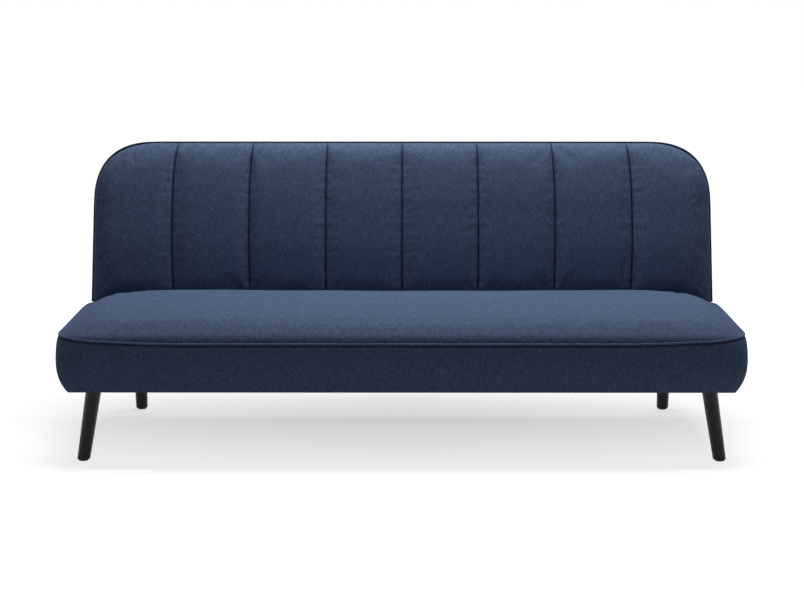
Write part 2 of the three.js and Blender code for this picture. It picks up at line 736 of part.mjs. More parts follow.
function legs() {
  const glideProfile = [
    [0, 0],
    [GLIDE_RADIUS - 1, 0],
    [GLIDE_RADIUS, 1],
    [GLIDE_RADIUS, GLIDE_HEIGHT],
    [0, GLIDE_HEIGHT],
  ];
  const outwards = Math.tan(radians(FRONT_LEG_SPLAY));
  const forwards = Math.tan(radians(FRONT_LEG_RAKE));
  const backwards = Math.tan(radians(REAR_LEG_SPLAY));
  for (const [name, side] of Object.entries(SIDES)) {
    const places = {
      front: { x: FRONT_LEG_X * side, y: FRONT_LEG_Y, leanX: -side * outwards, leanY: forwards },
      rear: { x: BASE_RAIL_X * side, y: REAR_LEG_Y, leanX: 0, leanY: -backwards },
    };
    for (const [end, place] of Object.entries(places)) {
      const parts = {
        leg: [legGeometry(place.leanX, place.leanY), LACQUER_FINISH],
        leg_plate: [legPlate(), COATED_FINISH],
      };
      for (const [part, [geometry, finish]] of Object.entries(parts)) {
        piece(sofa, `${end}_${part}_${name}`, geometry, finish).position.set(place.x, place.y, 0);
      }
      const drop = UNDERSIDE - GLIDE_HEIGHT;
      const glide = piece(sofa, `${end}_glide_${name}`, turned(glideProfile, 20), PLASTIC_FINISH);
      glide.position.set(place.x - place.leanX * drop, place.y - place.leanY * drop, 0);
    }
  }
}

function base() {
  const half = BASE_RAIL / 2;
  const inside = half - BASE_RAIL_WALL;
  const length = BASE_RAIL_END - BETWEEN_RAILS[0];
  const square = (h) => [[-h, -h], [h, -h], [h, h], [-h, h]];
  for (const [name, side] of Object.entries(SIDES)) {
    const section = shapeOf(square(half));
    section.holes.push(new THREE.Path(square(inside).map(([a, b]) => new THREE.Vector2(a, b))));
    const tube = new THREE.ExtrudeGeometry(section, { depth: length, bevelEnabled: false });
    tube.rotateX(Math.PI / 2).translate(side * BASE_RAIL_X, BASE_RAIL_END, FRAME_BOTTOM + half);
    piece(sofa, `base_rail_${name}`, tube, COATED_FINISH);
  }
  const centre = [CROSS_TUBE_Y, FRAME_BOTTOM + half];
  const ring = new THREE.Shape().absarc(...centre, CROSS_TUBE_RADIUS, 0, Math.PI * 2);
  ring.holes.push(circle(...centre, CROSS_TUBE_RADIUS - CROSS_TUBE_WALL));
  const reach = BASE_RAIL_X - half - GAP;
  piece(sofa, "rear_cross_tube", plateX(ring, [-reach, reach]), COATED_FINISH);
}

// ---------------------------------------------------------------- ratchet hinges

const AXIS = [SEAT_DEPTH + HINGE_GAP, HINGE_HEIGHT]; // Y and Z of the hinge axis
const BACK_ARM_X = [HINGE_X - PLATE_GAP - HINGE_PLATE, HINGE_X - PLATE_GAP];
const SLOT_X = [BACK_ARM_X[0] - SLOT_SIDE, HINGE_X + HINGE_PLATE + SLOT_SIDE];
const PAWL_PIN = polar(AXIS, PAWL_PIN_REACH, PAWL_PIN_ANGLE);
const PAWL_TIP = polar(AXIS, QUADRANT_RADIUS + PAWL_HOVER, PAWL_ANGLE);
const RAISED = 90 - RECLINE; // degrees that the backrest is raised from flat
const LOUNGE = 37; // degrees from flat of the half-way notch

// The slot that a hinge's arms pass through at the seat's rear edge.
function seatSlot(side) {
  const eye = HINGE_EYE + SLOT_CLEARANCE;
  const front = AXIS[0] - SEAT_SLOT_LENGTH;
  const points = [
    [front, FRAME_TOP],
    [AXIS[0] + HINGE_GAP, FRAME_TOP],
    ...arc([AXIS[0], AXIS[1]], eye, 0, 180, 8),
    [front, AXIS[1]],
  ];
  return plateX(shapeOf(points), spanX(side, ...SLOT_X));
}

// The slot at the backrest's foot, in its own flat frame.
function backSlot(side) {
  const eye = HINGE_EYE + SLOT_CLEARANCE + SLOT_HEADROOM;
  const base = BACK_FRAME_FRONT + GAP;
  const points = [
    [-HINGE_GAP, base],
    [BACK_SLOT_LENGTH, base],
    ...arc([0, 0], eye, 30, 90, 4),
    [-HINGE_GAP, eye],
  ];
  return plateX(shapeOf(points), spanX(side, ...SLOT_X));
}

// The seat's arm: a strip screwed to the cross rail, and a neck over the rear rail up to the eye.
function seatArm(side) {
  const stripRear = REAR_RAIL[0] - SEAT_ARM_END;
  const stripFront = stripRear - SEAT_ARM_LENGTH;
  const stripTop = FRAME_TOP - SEAT_ARM_SINK;
  const stripBottom = stripTop - SEAT_ARM_HEIGHT;
  const points = [
    [stripFront, stripBottom],
    [stripRear, stripBottom],
    [stripRear, FRAME_TOP + SEAT_NECK_RISE],
    [AXIS[0] - SEAT_NECK, FRAME_TOP + SEAT_NECK_RISE],
    ...arc(AXIS, HINGE_EYE, -20, 180, 12),
    [AXIS[0] - SEAT_GUSSET, AXIS[1] - HINGE_EYE],
    [stripRear - SEAT_GUSSET, stripTop],
    [stripFront, stripTop],
  ];
  const shape = shapeOf(points);
  shape.holes.push(circle(...AXIS, BOLT_RADIUS + BOLT_CLEARANCE));
  shape.holes.push(circle(...PAWL_PIN, PAWL_PIN_RADIUS + BOLT_CLEARANCE));
  return plateX(shape, spanX(side, HINGE_X, HINGE_X + HINGE_PLATE), 12);
}

// The quadrant's rim from its sofa end to its flat end, with a notch for each lower position.
function quadrantRim() {
  const start = PAWL_ANGLE - RAISED + 0.8 * TOOTH_SPREAD;
  const end = PAWL_ANGLE + 1.6 * TOOTH_SPREAD;
  const root = QUADRANT_RADIUS - TOOTH_DEPTH;
  const notch = (degrees) => [
    polar([0, 0], QUADRANT_RADIUS, degrees - TOOTH_SPREAD),
    polar([0, 0], root, degrees - 0.4 * TOOTH_SPREAD),
    polar([0, 0], root, degrees + 0.4 * TOOTH_SPREAD),
    polar([0, 0], QUADRANT_RADIUS, degrees + TOOTH_SPREAD),
  ];
  const lounge = PAWL_ANGLE - LOUNGE;
  const clear = 1.6 * TOOTH_SPREAD;
  return [
    ...arc([0, 0], QUADRANT_RADIUS, start, lounge - clear, 3),
    ...notch(lounge),
    ...arc([0, 0], QUADRANT_RADIUS, lounge + clear, PAWL_ANGLE - clear, 2),
    ...notch(PAWL_ANGLE),
    polar([0, 0], QUADRANT_RADIUS, end),
  ];
}

// The backrest's arm: an eye with the toothed quadrant, a neck over the bottom rail, and a strip
// screwed to the upright.
function backArm(side) {
  const foot = HINGE_GAP + BACK_FRAME_INSET + BACK_BOTTOM_RAIL + BACK_ARM_END;
  const stripBottom = BACK_REAR + BACK_ARM_SINK;
  const stripTop = stripBottom + BACK_ARM_WIDTH;
  const points = [
    ...arc([0, 0], HINGE_EYE, 20, 180, 10),
    ...quadrantRim(),
    polar([0, 0], BACK_NECK, PAWL_ANGLE + 2.6 * TOOTH_SPREAD),
    [BACK_NECK, -QUADRANT_RADIUS],
    [foot - BACK_ARM_END, BACK_FRAME_FRONT + BACK_ARM_END],
    [foot, stripBottom],
    [foot + BACK_ARM_LENGTH, stripBottom],
    [foot + BACK_ARM_LENGTH, stripTop],
    [foot + BACK_NECK, stripTop],
  ];
  const shape = shapeOf(points);
  shape.holes.push(circle(0, 0, BOLT_RADIUS + BOLT_CLEARANCE));
  return plateX(shape, spanX(side, ...BACK_ARM_X), 12);
}

function pivotBolt(side) {
  const inner = BACK_ARM_X[0] - GAP;
  const outer = HINGE_X + HINGE_PLATE + GAP;
  const profile = [
    [0, inner - BOLT_HEAD],
    [BOLT_HEAD_RADIUS, inner - BOLT_HEAD],
    [BOLT_HEAD_RADIUS, inner],
    [BOLT_RADIUS, inner],
    [BOLT_RADIUS, outer],
    [BOLT_HEAD_RADIUS, outer],
    [BOLT_HEAD_RADIUS, outer + BOLT_HEAD],
    [0, outer + BOLT_HEAD],
  ];
  const geometry = turnedX(profile, 24);
  return side > 0 ? geometry : geometry.rotateZ(Math.PI);
}

function pawlPin(side) {
  const head = BACK_ARM_X[0] - SLOT_SIDE;
  const profile = [
    [0, head],
    [PAWL_PIN_RADIUS + PAWL_PIN_HEAD, head],
    [PAWL_PIN_RADIUS + PAWL_PIN_HEAD, head + PAWL_PIN_HEAD],
    [PAWL_PIN_RADIUS, head + PAWL_PIN_HEAD],
    [PAWL_PIN_RADIUS, HINGE_X + HINGE_PLATE],
    [0, HINGE_X + HINGE_PLATE],
  ];
  const geometry = turnedX(profile, 24);
  return side > 0 ? geometry : geometry.rotateZ(Math.PI);
}

// The pawl: a boss on its pin, tapering to a nose that points at the teeth.
function pawl(side) {
  const reach = Math.hypot(PAWL_TIP[0] - PAWL_PIN[0], PAWL_TIP[1] - PAWL_PIN[1]);
  const line = Math.atan2(PAWL_TIP[1] - PAWL_PIN[1], PAWL_TIP[0] - PAWL_PIN[0]);
  const aim = THREE.MathUtils.radToDeg(line);
  const nose = polar(PAWL_PIN, reach, aim);
  const shape = shapeOf([
    polar(nose, PAWL_NOSE, aim - 90),
    polar(nose, PAWL_NOSE, aim + 90),
    ...arc(PAWL_PIN, PAWL_BOSS, aim + 60, aim + 300, 10),
  ]);
  shape.holes.push(circle(...PAWL_PIN, PAWL_PIN_RADIUS + BOLT_CLEARANCE));
  return plateX(shape, spanX(side, ...BACK_ARM_X), 12);
}

class PawlCoil extends THREE.Curve {
  constructor(from, to) {
    super();
    this.from = from;
    this.to = to;
  }

  getPoint(share) {
    const radius = PAWL_PIN_RADIUS + PAWL_SPRING_WIRE + 2 * GAP;
    const angle = 2 * Math.PI * PAWL_SPRING_TURNS * share;
    const x = THREE.MathUtils.lerp(this.from, this.to, share);
    return new THREE.Vector3(x, radius * Math.cos(angle), radius * Math.sin(angle));
  }
}

function pawlSpring(side) {
  const head = BACK_ARM_X[0] - SLOT_SIDE + PAWL_PIN_HEAD;
  const margin = PAWL_SPRING_WIRE + GAP;
  const coil = new PawlCoil(side * (head + margin), side * (BACK_ARM_X[0] - margin));
  const section = new THREE.Shape().absarc(0, 0, PAWL_SPRING_WIRE, 0, Math.PI * 2);
  const settings = { steps: PAWL_SPRING_TURNS * 8, curveSegments: 2, extrudePath: coil };
  return new THREE.ExtrudeGeometry(section, settings);
}

function hinges() {
  for (const [name, side] of Object.entries(SIDES)) {
    piece(sofa, `hinge_seat_arm_${name}`, seatArm(side), ZINC_FINISH);
    piece(sofa, `pivot_bolt_${name}`, pivotBolt(side), ZINC_FINISH).position.set(0, ...AXIS);
    piece(sofa, `pawl_pin_${name}`, pawlPin(side), ZINC_FINISH).position.set(0, ...PAWL_PIN);
    piece(sofa, `pawl_${name}`, pawl(side), ZINC_FINISH);
    piece(sofa, `pawl_spring_${name}`, pawlSpring(side), SPRING_FINISH).position.set(0, ...PAWL_PIN);
    piece(backrest, `hinge_back_arm_${name}`, backArm(side), ZINC_FINISH);
  }
}

// ---------------------------------------------------------------- backrest

const BACK_PLANE = BACK_FACE - BACK_ROLL_HEIGHT; // the backrest's piping line
const BACK_BOTTOM = BACK_FACE - BACK_THICKNESS; // the rear cover's outer face
const BACK_REAR = BACK_BOTTOM + FABRIC + GAP; // the frame's rear face
const BACK_FRAME_FRONT = BACK_REAR + BACK_FRAME_DEPTH;
const BACK_FOAM_REAR = BACK_FRAME_FRONT + GAP + WEBBING + GAP;

const CHANNEL_WIDTH = (2 * HALF_WIDTH) / CHANNELS;

// The channels' rise above their seams: flat-topped between neighbouring seams, 0 on a seam.
function puff(x) {
  const place = (((x + HALF_WIDTH) / CHANNEL_WIDTH) % 1 + 1) % 1;
  const fromMiddle = Math.abs(2 * place - 1);
  return CHANNEL_PUFF * (1 - fromMiddle ** 3);
}

function backFront(inset, channelled, sunk) {
  return (x, v) => {
    const depth = Math.max(depthInside(BACK, x, v) - inset, 0);
    const share = depth / (BACK_ROLL_WIDTH - inset);
    const rise = roll(share) * (BACK_ROLL_HEIGHT - CHANNEL_PUFF - sunk);
    const channel = channelled ? puff(x) * roll(share) : 0;
    return BACK_PLANE + Math.max(rise + channel, seamRoom(BACK, v));
  };
}

// Columns through every seam and channel of the right half.
function channelColumns() {
  const shares = [0, 0.07, 0.33, 0.67, 0.93];
  const columns = [];
  for (let k = 0; k < CHANNELS / 2; k += 1) {
    for (const share of shares) columns.push((k + share) * CHANNEL_WIDTH);
  }
  return columns;
}

function backrestUpholstery() {
  const slots = Object.values(SIDES).map((side) => backSlot(side));
  const columns = columnsAcross(BACK, [1, 6], channelColumns());
  const rollRows = [1, 0.42, 0.15, 0.03].map((share) => share * BACK_ROLL_WIDTH).reverse();
  const rows = rowsUp(
    BACK,
    [0, ...rollRows.filter((_, k) => k !== 1), BACK_LENGTH / 3],
    [0, ...rollRows, BACK_LENGTH / 3.5],
  );
  const face = padGrid(BACK, 0, columns, rows, backFront(0, true, 0));
  const lining = padGrid(BACK, FABRIC, columns, rows, backFront(FABRIC, false, QUILTING));
  piece(backrest, "back_front_cover", cut(panel(face, lining), slots), FABRIC_FINISH);

  const plain = columnsAcross(BACK, [1, 6], [0, HALF_WIDTH / 2.6]);
  const inset = FOAM_INSET + 2 * GAP;
  const top = padGrid(BACK, inset, plain, rows, backFront(inset, false, QUILTING + FOAM_INSET));
  const foot = rim(top).map(([x, v]) => [x, v, BACK_FOAM_REAR]);
  piece(backrest, "back_foam", cut(foamBlock(top, [foot]), slots), FOAM_FINISH);

  const section = (station) => {
    const bulge = BACK_BAND_BULGE * pipedShare(BACK, station.v);
    return clothSection([
      [0, BACK_PLANE - seamRoom(BACK, station.v)],
      [bulge, BACK_PLANE - 4 * BACK_BAND_TUCK],
      [bulge, BACK_BOTTOM + 3 * BACK_BAND_TUCK],
      [-BACK_BAND_BULGE, BACK_BOTTOM + BACK_BAND_TUCK],
      [-BACK_BAND_TUCK, BACK_BOTTOM],
      [-BACK_HEM, BACK_BOTTOM],
    ]);
  };
  const band = carried(pipedPath(BACK, 8, 1), section, true);
  piece(backrest, "back_band", cut(band, slots), FABRIC_FINISH);
  piece(backrest, "back_piping", piping(BACK, BACK_PLANE, 9), PIPING_FINISH);
  piece(backrest, "back_rear_cover", rearCover(), BACKING_FINISH);
}

function rearCover() {
  const inset = BACK_HEM + GAP;
  const points = pipedPath(BACK, 8, 1).map(({ x, v, out }) => [x - out[0] * inset, v - out[1] * inset]);
  return plateZ(shapeOf(points), [BACK_BOTTOM, BACK_BOTTOM + FABRIC]);
}

function backrestFrame() {
  const depth = [BACK_REAR, BACK_FRAME_FRONT];
  const edge = BACK_FRAME_INSET;
  const foot = HINGE_GAP + edge;
  const bottomTop = foot + BACK_BOTTOM_RAIL;
  const cornerLow = BACK_LENGTH - BACK_TOP_RADIUS;
  const cornerX = HALF_WIDTH - BACK_TOP_RADIUS;
  const topRail = [BACK_LENGTH - edge - TIMBER, BACK_LENGTH - edge];
  const endInner = HALF_WIDTH - edge - TIMBER;
  const bottom = box([GAP - endInner, endInner - GAP], [foot, bottomTop], depth);
  const top = box([GAP - cornerX, cornerX - GAP], topRail, depth);
  const centre = box([-TIMBER / 2, TIMBER / 2], [bottomTop + GAP, topRail[0] - GAP], depth);
  piece(backrest, "back_bottom_rail", bottom, TIMBER_FINISH);
  piece(backrest, "back_top_rail", top, TIMBER_FINISH);
  piece(backrest, "back_upright_centre", centre, TIMBER_FINISH);

  const outerRadius = BACK_TOP_RADIUS - edge;
  const innerRadius = outerRadius - BACK_CORNER_PLY;
  const uprightOuter = HINGE_X - PLATE_GAP + GAP + TIMBER;
  const plySteps = 8;
  const clearRadius = innerRadius * Math.cos(Math.PI / 4 / plySteps);
  const uprightTop = cornerLow + Math.sqrt(clearRadius ** 2 - (uprightOuter - cornerX) ** 2) - GAP;
  for (const [name, side] of Object.entries(SIDES)) {
    const end = spanX(side, endInner, endInner + TIMBER);
    const endRail = box(end, [foot + BACK_FOOT_RADIUS, cornerLow - GAP], depth);
    piece(backrest, `back_end_rail_${name}`, endRail, TIMBER_FINISH);
    const inner = spanX(side, uprightOuter - TIMBER, uprightOuter);
    const upright = box(inner, [bottomTop + GAP, uprightTop], depth);
    piece(backrest, `back_upright_${name}`, upright, TIMBER_FINISH);
    const ply = [
      ...arc([cornerX, cornerLow], outerRadius, 0, 90, plySteps),
      ...arc([cornerX, cornerLow], innerRadius, 90, 0, plySteps),
    ].map(([x, v]) => [side * x, v]);
    piece(backrest, `back_corner_${name}`, plateZ(shapeOf(ply), depth), TIMBER_FINISH);
  }
  const webX = uprightOuter - TIMBER + WEBBING_LAP;
  const webZ = [BACK_FRAME_FRONT + GAP, BACK_FRAME_FRONT + GAP + WEBBING];
  piece(backrest, "back_webbing", box([-webX, webX], [WEBBING_LOW, WEBBING_HIGH], webZ), CLOTH_FINISH);
}

// ---------------------------------------------------------------- assembly

seatUpholstery();
seatFrame();
seatSprings();
dustCover();
legs();
base();
hinges();
backrestUpholstery();
backrestFrame();

backrest.position.set(0, ...AXIS);
backrest.rotation.x = radians(RAISED);
sofa.add(backrest);

// The origin is on the floor, under the middle of the whole sofa.
sofa.updateMatrixWorld(true);
const extent = new THREE.Box3().setFromObject(sofa, true);
const middle = extent.getCenter(new THREE.Vector3());
sofa.position.set(-middle.x, -middle.y, -extent.min.z);

export default sofa;
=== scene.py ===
"""Upholstery, finishes, floor and light for an armless click-clack sofa bed.

Metres. +X is to the right of someone facing the sofa, +Y is towards its back, +Z is up.
The backrest is worked out lying flat: x across, v up from the hinge axis, w out of its front.
"""

import json
import math
from dataclasses import dataclass

import bpy
import numpy as np
from bpy.props import FloatProperty, FloatVectorProperty, IntProperty, PointerProperty
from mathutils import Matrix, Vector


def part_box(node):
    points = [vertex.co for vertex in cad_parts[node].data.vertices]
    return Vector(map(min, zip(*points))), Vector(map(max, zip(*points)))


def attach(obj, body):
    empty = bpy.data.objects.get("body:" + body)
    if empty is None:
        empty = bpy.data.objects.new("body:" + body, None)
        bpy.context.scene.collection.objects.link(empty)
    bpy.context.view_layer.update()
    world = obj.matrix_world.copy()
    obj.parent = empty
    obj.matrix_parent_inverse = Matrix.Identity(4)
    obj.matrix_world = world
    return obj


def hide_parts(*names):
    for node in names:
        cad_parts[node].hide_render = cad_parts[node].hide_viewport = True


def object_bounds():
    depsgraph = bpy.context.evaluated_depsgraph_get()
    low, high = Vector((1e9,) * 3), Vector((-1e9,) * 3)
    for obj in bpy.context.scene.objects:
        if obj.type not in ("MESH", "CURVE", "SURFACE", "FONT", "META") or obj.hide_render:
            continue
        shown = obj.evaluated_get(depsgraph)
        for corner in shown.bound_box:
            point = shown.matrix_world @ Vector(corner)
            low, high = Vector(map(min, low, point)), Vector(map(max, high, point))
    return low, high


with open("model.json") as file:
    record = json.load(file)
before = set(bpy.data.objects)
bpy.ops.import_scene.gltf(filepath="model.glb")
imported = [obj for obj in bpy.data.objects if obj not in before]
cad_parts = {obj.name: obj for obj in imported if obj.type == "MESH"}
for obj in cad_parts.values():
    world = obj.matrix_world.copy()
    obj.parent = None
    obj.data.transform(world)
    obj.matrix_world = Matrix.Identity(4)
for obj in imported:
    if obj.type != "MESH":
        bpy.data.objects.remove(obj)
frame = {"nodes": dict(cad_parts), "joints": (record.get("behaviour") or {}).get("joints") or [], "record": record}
CAD_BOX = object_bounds()

bl_info = {
    "name": "Click-clack sofa bed",
    "version": (1, 0, 0),
    "blender": (4, 5, 0),
    "location": "3D View > Sidebar > Sofa Bed",
    "description": "Upholsters and finishes an armless click-clack sofa bed",
    "category": "Object",
}

MM = 0.001
TINY = 1e-6
TURN = 2 * math.pi
QUARTER_TURN = math.pi / 2
# How far a seam holds the cloth, the steps along strips and at edges, the cloth of the bands, and
# how far the pulls at the piping reach in.
PINNED = 4 * MM
STRIP_STEP = 14 * MM
EDGE_STEP = 0.12 * MM
CLOTH_THICKNESS = 2 * MM
PULL_REACH = 40 * MM
# At each hinge the pads have small hollows, of this spread across and these depths.
HOLLOW_SPREAD = 18 * MM
BACK_HOLLOW = 14 * MM
SEAT_HOLLOW = 30 * MM
FLOOR_COLOUR = (0.7, 0.7, 0.7, 1)


# ---- places taken from the frame


def centre(node):
    """The middle of a CAD node's box, as x, y and z."""
    return np.mean(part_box(node), axis=0)


RECLINE = next(joint for joint in frame["joints"] if joint["name"] == "back_recline")
HINGE_Y, HINGE_Z = RECLINE["pos_m"][1:]
RAISED = math.radians(RECLINE["range_deg"][1])
BACK_ARM_X = centre("hinge_back_arm_right")[0]
SEAT_ARM_X = centre("hinge_seat_arm_right")[0]
SEAT_LOW, SEAT_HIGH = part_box("seat_top_cover")
BAND_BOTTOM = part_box("seat_band")[0].z
PIPING_Z = centre("seat_piping")[2]


# ---- sizes and colours


def distance(name, description, millimetres):
    """A length that a user can change, with its default in millimetres."""
    return FloatProperty(name=name, description=description, default=millimetres * MM, unit="LENGTH")


def shares(code):
    """An sRGB hex value as three shares of full red, green and blue."""
    return tuple(int(code[k:k + 2], 16) / 255 for k in (1, 3, 5))


def tint(name, description, code):
    """A colour that a user can change, with its default as an sRGB hex value."""
    return FloatVectorProperty(
        name=name, description=description, default=shares(code), subtype="COLOR_GAMMA", size=3, min=0, max=1,
    )


class SofaSeatSizes(bpy.types.PropertyGroup):
    """Sizes of the seat's upholstery."""

    front_radius: distance("Front corner radius", "Radius of the seat's front corners in plan", 130)
    rear_radius: distance("Rear corner radius", "Radius of the seat's rear corners in plan", 66)
    roll_width: distance("Roll width", "How far in from the piping the top rolls over", 54)
    roll_height: distance("Roll height", "Rise of the rolled edge above the piping", 42)
    crown: distance("Crown", "Rise of the middle of the top above its rolled edge", 27)
    bulge: distance("Band bulge", "How far the band swells past the piping line", 8)
    tuck: distance("Band tuck", "How far the band turns in at its bottom edge", 33)
    hem_radius: distance("Hem corner radius", "Radius of the band's front corners at its bottom edge", 35)
    hem_drop: distance("Hem drop", "How far the band's hem hangs below the frame", 3.5)
    side_lift: distance("Side lift", "How far the piping climbs from the front's middle to the sides", 9)
    rear_lift: distance("Rear lift", "How far the piping climbs along the sides to the rear", 16)
    corner_dip: distance("Corner dip", "How far the piping is pulled down again at the rear corners", 5.5)
    side_slope: distance("Side slope", "How far the top drops towards the sides, before it rolls over", 33)
    piping_radius: distance("Piping radius", "Radius of the piping cord round the seat", 3.1)


class SofaBackSizes(bpy.types.PropertyGroup):
    """Sizes of the backrest's upholstery."""

    foot: distance("Foot", "From the hinge axis up to the backrest's low edge", 1)
    length: distance("Length", "From the hinge axis up to the backrest's top edge", 488.5)
    face: distance("Face", "The front face's height over the hinge axis, lying flat", 27)
    thickness: distance("Thickness", "From the front face to the rear cover", 130)
    top_radius: distance("Top corner radius", "Radius of the backrest's top corners", 190)
    top_power: FloatProperty(
        name="Top corner power", description="Power of the top corners' superellipse; 2 is a circle",
        default=2.6, min=2,
    )
    foot_radius: distance("Foot corner radius", "Radius of the backrest's low corners", 4)
    roll_width: distance("Roll width", "How far in from the piping the face rolls over", 48)
    roll_height: distance("Roll height", "Rise of the face above the piping", 42)
    belly: distance("Belly", "How much the face swells between its foot and its top", 30)
    puff: distance("Channel puff", "How far a channel's middle stands above its seams", 6)
    crease: distance("Crease depth", "How deep a seam is drawn into the face", 18)
    crease_width: distance("Crease width", "Distance from a seam at which its crease has mostly risen", 1.9)
    inner_channel: distance("Channel width", "Width of the channels between the seams", 228.5)
    stitch: distance("Stitch length", "Length of one stitch of a channel seam", 5)
    piping_radius: distance("Piping radius", "Radius of the piping cord round the backrest", 3.5)


class SofaLegSizes(bpy.types.PropertyGroup):
    """Sizes of the turned legs."""

    top_radius: distance("Top radius", "Radius of a leg under the seat", 22)
    foot_radius: distance("Foot radius", "Radius of a leg at its foot", 17.5)
    foot_round: distance("Foot rounding", "Radius of the rounded edge of a leg's foot", 1.2)
    sides: IntProperty(name="Sides", description="Steps round a leg", default=48, min=12)


class SofaColours(bpy.types.PropertyGroup):
    """Colours of the cloth and of the leg lacquer."""

    cloth: tint("Cloth", "The cloth's middle colour, as sRGB", "#516280")
    lacquer: tint("Leg lacquer", "Colour of the lacquered legs, as sRGB", "#171621")


# ---- curves and fields


def smoothstep(value, low, high):
    """0 below low and 1 above high, with a cubic ease between them."""
    share = np.clip((value - low) / (high - low), 0, 1)
    return share * share * (3 - 2 * share)


def waviness(a, b, wavelength, seed):
    """A smooth uneven field between about -1 and 1: seven plane waves of about that wavelength,
    in seeded directions and phases, added and divided by the root of their number."""
    random = np.random.default_rng(seed)
    ways = random.uniform(0, math.pi, 7)
    sizes = wavelength * random.uniform(0.7, 1.6, 7)
    phases = random.uniform(0, TURN, 7)
    waves = [
        np.sin(TURN * (a * math.cos(way) + b * math.sin(way)) / size + phase)
        for way, size, phase in zip(ways, sizes, phases)
    ]
    return sum(waves) / math.sqrt(len(waves))


def roll(share, power):
    """The rise of a rolled edge, 0 at the edge and 1 where it ends: a superellipse's quarter."""
    left = 1 - np.clip(share, 0, 1)
    return (1 - left**power) ** (1 / power)


def crowded(span, spacing, first, reach):
    """Places from 0 to span, crowded at both ends: a square law over reach, then even steps."""
    count = int(math.sqrt(reach / first))
    ramp = reach * (np.arange(count) / count) ** 2
    middle = np.linspace(reach, span - reach, int((span - 2 * reach) / spacing) + 1)
    return np.concatenate([ramp, middle, (span - ramp)[::-1]])


def beside(x, middle):
    """1 at the hinges, middle to each side of the sofa's centre, and a Gaussian's fall round them."""
    return np.exp(-(((np.abs(x) - middle) / HOLLOW_SPREAD) ** 2))


def raise_back(x, v, w):
    """Points of the flat backrest turned about the hinge axis, up to where it stands, with a small
    hollow in its foot at each hinge: the seat's arm stands there when the backrest lies flat."""
    near_foot = smoothstep(v, 50 * MM, 0) * smoothstep(w, -60 * MM, -30 * MM)
    v = v + BACK_HOLLOW * beside(x, SEAT_ARM_X) * near_foot
    y = HINGE_Y + v * math.cos(RAISED) - w * math.sin(RAISED)
    z = HINGE_Z + v * math.sin(RAISED) + w * math.cos(RAISED)
    return np.stack([np.broadcast_to(x, y.shape), y, z], axis=-1)


def lift_seat(x, v, height):
    """Plan points and heights of the seat, as points of the scene, with a small hollow in the upper
    rear edge at each hinge: the backrest's arm turns down into it."""
    rear = smoothstep(v, SEAT_HIGH.y - 55 * MM, SEAT_HIGH.y) * smoothstep(height, 300 * MM, 322 * MM)
    v = v - SEAT_HOLLOW * beside(x, BACK_ARM_X) * rear
    return np.stack(np.broadcast_arrays(x, v, height), axis=-1)


# ---- mesh makers


def grid_faces(rows, columns, wrap_rows=False, wrap_columns=False):
    """Quads of a grid of points, numbered row by row. A quad faces the side that the direction
    between rows turned onto the direction along a row points to, by the right-hand rule."""
    row = np.arange(rows if wrap_rows else rows - 1)[:, None]
    column = np.arange(columns if wrap_columns else columns - 1)[None, :]
    next_row = (row + 1) % rows
    next_column = (column + 1) % columns
    corners = (
        row * columns + column,
        next_row * columns + column,
        next_row * columns + next_column,
        row * columns + next_column,
    )
    return np.stack(np.broadcast_arrays(*corners), axis=-1).reshape(-1, 4)


def mesh_piece(name, points, faces, uv=None, others=()):
    """A smooth mesh object of quads, and of other faces given as lists. uv is in metres, by point."""
    mesh = bpy.data.meshes.new(name)
    mesh.from_pydata(points.reshape(-1, 3).tolist(), [], faces.tolist() + [list(f) for f in others])
    if uv is not None:
        corners = np.empty(len(mesh.loops), np.int32)
        mesh.loops.foreach_get("vertex_index", corners)
        layer = mesh.uv_layers.new(name="cloth")
        layer.uv.foreach_set("vector", uv.reshape(-1, 2)[corners].astype(np.float32).ravel())
    mesh.validate()
    mesh.shade_smooth()
    piece = bpy.data.objects.new(name, mesh)
    bpy.context.scene.collection.objects.link(piece)
    return piece


def thin_sheet(name, points, thickness, uv=None):
    """A grid of cloth that faces down or back, thickened to its other side."""
    sheet = mesh_piece(name, points, grid_faces(*points.shape[:2])[:, ::-1], uv)
    solid = sheet.modifiers.new("thickness", "SOLIDIFY")
    solid.thickness = thickness
    solid.offset = -1
    return sheet


def turned(name, radii, places, sides, plane=(0, 1)):
    """A closed turned piece: a ring of points about each place on its axis, of a radius for the
    whole ring or of one for each of its sides. plane names the two axes that a ring lies in."""
    count = len(places)
    radii = radii.reshape(count, -1)
    angle = np.linspace(0, TURN, sides, endpoint=False)
    points = np.repeat(places[:, None], sides, axis=1)
    points[..., plane[0]] += radii * np.cos(angle)
    points[..., plane[1]] += radii * np.sin(angle)
    faces = grid_faces(count, sides, wrap_columns=True)[:, ::-1]
    caps = (range(sides - 1, -1, -1), range((count - 1) * sides, count * sides))
    return mesh_piece(name, points, faces, None, caps)


def rounded_edge(radius, low, rounding, steps):
    """Radii and heights of a foot's edge, up the quarter circle that rounds it."""
    turn = np.linspace(0, QUARTER_TURN, steps)
    return radius - rounding * (1 - np.sin(turn)), low + rounding * (1 - np.cos(turn))


def dress(piece, material, body, slot, *nodes):
    """Gives a finished piece its material and its body, and hides the CAD nodes that it stands for; slot is not
    used.
    """
    piece.data.materials.clear()
    piece.data.materials.append(made(material))
    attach(piece, body)
    if nodes:
        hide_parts(*nodes)


# ---- pad outlines


